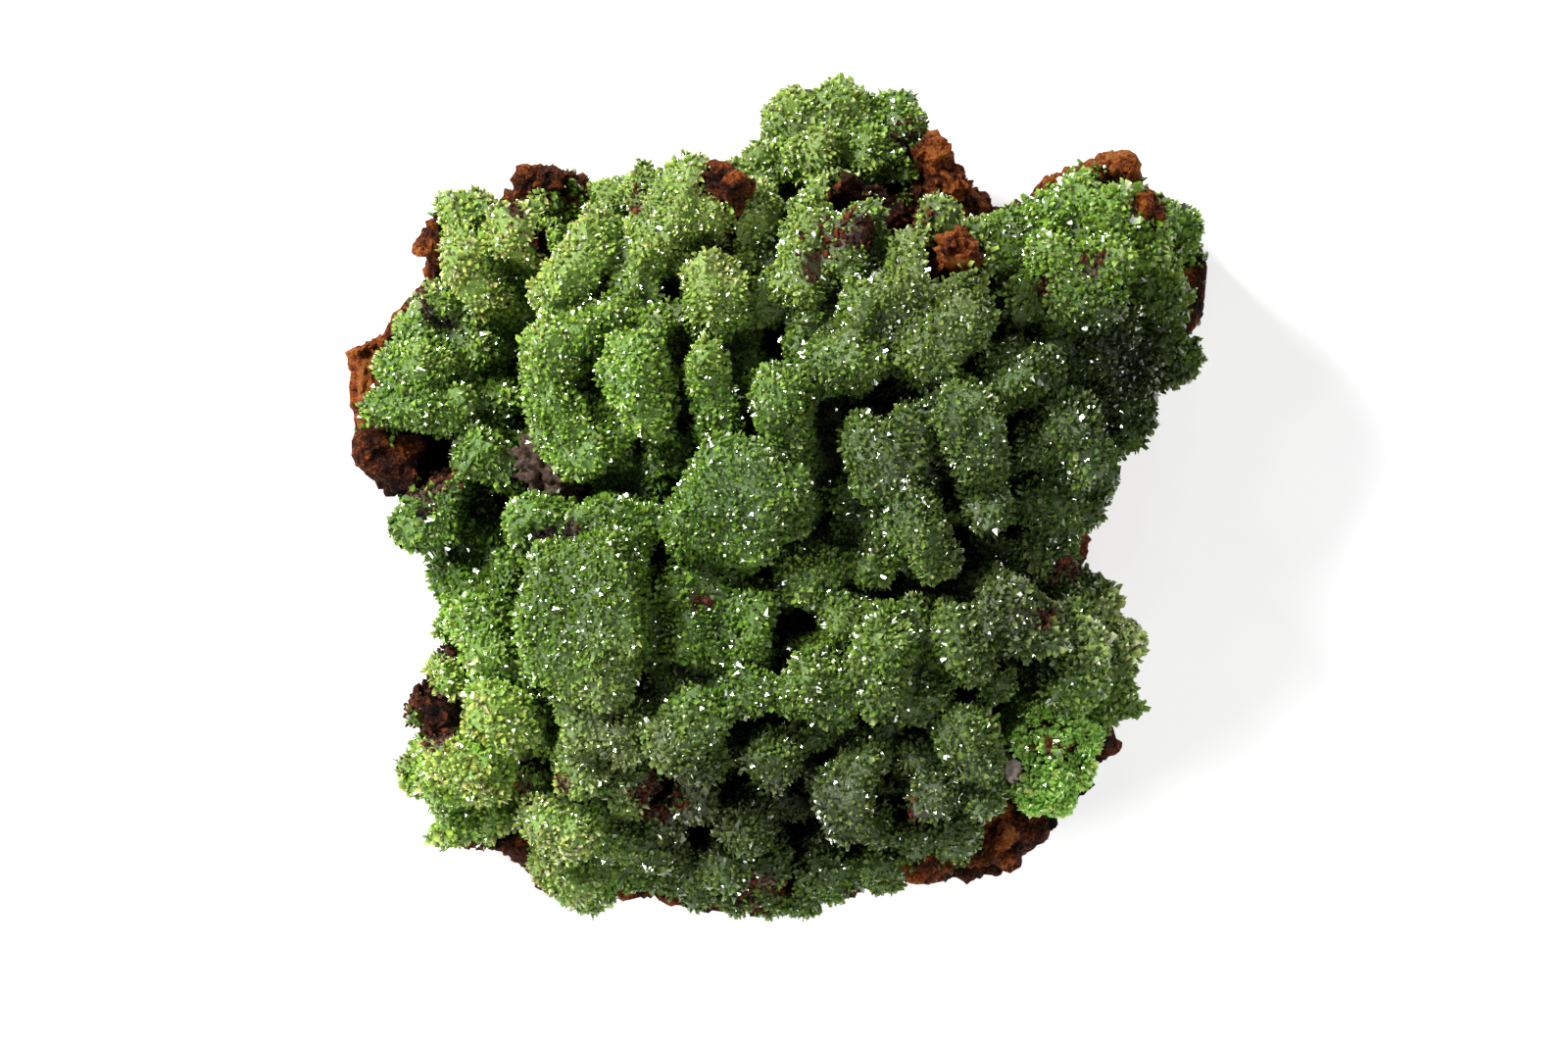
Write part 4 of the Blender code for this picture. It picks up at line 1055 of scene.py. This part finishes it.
# Each lamp's name, place, width and power in watts.
LAMPS = (
    ("key", (-0.40, 0.36, 0.42), 0.20, 7.6),
    ("low_left", (-0.50, -0.30, 0.30), 0.14, 1.6),
    ("high_right", (0.24, -0.28, 0.60), 0.10, 1.3),
)
# The small lamps for the glints: how many, and their ring's radius, height, first turn in degrees.
SPARKS = 6
SPARK_RING = 0.45
SPARK_HEIGHT = 0.65
SPARK_TURN = 20
SPARK_SIZE = 0.05
SPARK_POWER = 0.16
floor_finish = Finish("floor", {
    "Roughness": 0.6, "Emission Color": (1.0, 1.0, 1.0, 1.0), "Emission Strength": FLOOR_GLOW,
})
paper = floor_finish.cloud(40.0, 2.0, 0.5)
floor_finish.feed("Base Color", floor_finish.ramp(
    paper, ((0.0, (0.86, 0.86, 0.86)), (1.0, (0.9, 0.9, 0.9)))))
floor_mesh = bpy.data.meshes.new("floor")
half = FLOOR_SIZE / 2
floor_corners = [(-half, -half, 0), (half, -half, 0), (half, half, 0), (-half, half, 0)]
floor_mesh.from_pydata(floor_corners, [], [(0, 1, 2, 3)])
floor_mesh.materials.append(floor_finish.material)
floor = in_scene("floor", floor_mesh)
floor.location.z = -FLOOR_DEPTH


def lamp(name, place, size, power):
    """A square soft lamp that faces the specimen."""
    light = bpy.data.lights.new(name, "AREA")
    light.size = size
    light.energy = power
    stand = in_scene(name, light)
    stand.location = place
    stand.rotation_euler = (Vector(LAMP_AIM) - Vector(place)).to_track_quat("-Z", "Y").to_euler()


for lamp_row in LAMPS:
    lamp(*lamp_row)
for number in range(SPARKS):
    turn = math.radians(360 / SPARKS * number + SPARK_TURN)
    place = (SPARK_RING * math.cos(turn), SPARK_RING * math.sin(turn), SPARK_HEIGHT)
    lamp(f"spark_{number + 1}", place, SPARK_SIZE, SPARK_POWER)

world = bpy.data.worlds.new("studio")
bpy.context.scene.world = world
world.use_nodes = True
sky = world.node_tree.nodes["Background"]
sky.inputs["Color"].default_value = (1.0, 1.0, 1.0, 1.0)
sky.inputs["Strength"].default_value = SKY_GLOW
bpy.context.scene.view_settings.view_transform = "Standard"

# The camera: straight above with a long lens, as in the photograph, and its places in metres.
# Its frame is 160 mm wide at the height of the crystals, and centred a little off the specimen.
CAMERA_HEIGHT = 2.0
CAMERA_PLACE = (0.0008, -0.00254)
FRAME_WIDTH = 0.160
CRYSTAL_HEIGHT = 0.030
camera = bpy.data.cameras.new("camera")
camera.sensor_width = 36.0
camera.lens = camera.sensor_width * (CAMERA_HEIGHT - CRYSTAL_HEIGHT) / FRAME_WIDTH
camera.clip_start = 0.01
camera.clip_end = 10.0
eye = in_scene("camera", camera)
eye.location = (*CAMERA_PLACE, CAMERA_HEIGHT)
bpy.context.scene.camera = eye
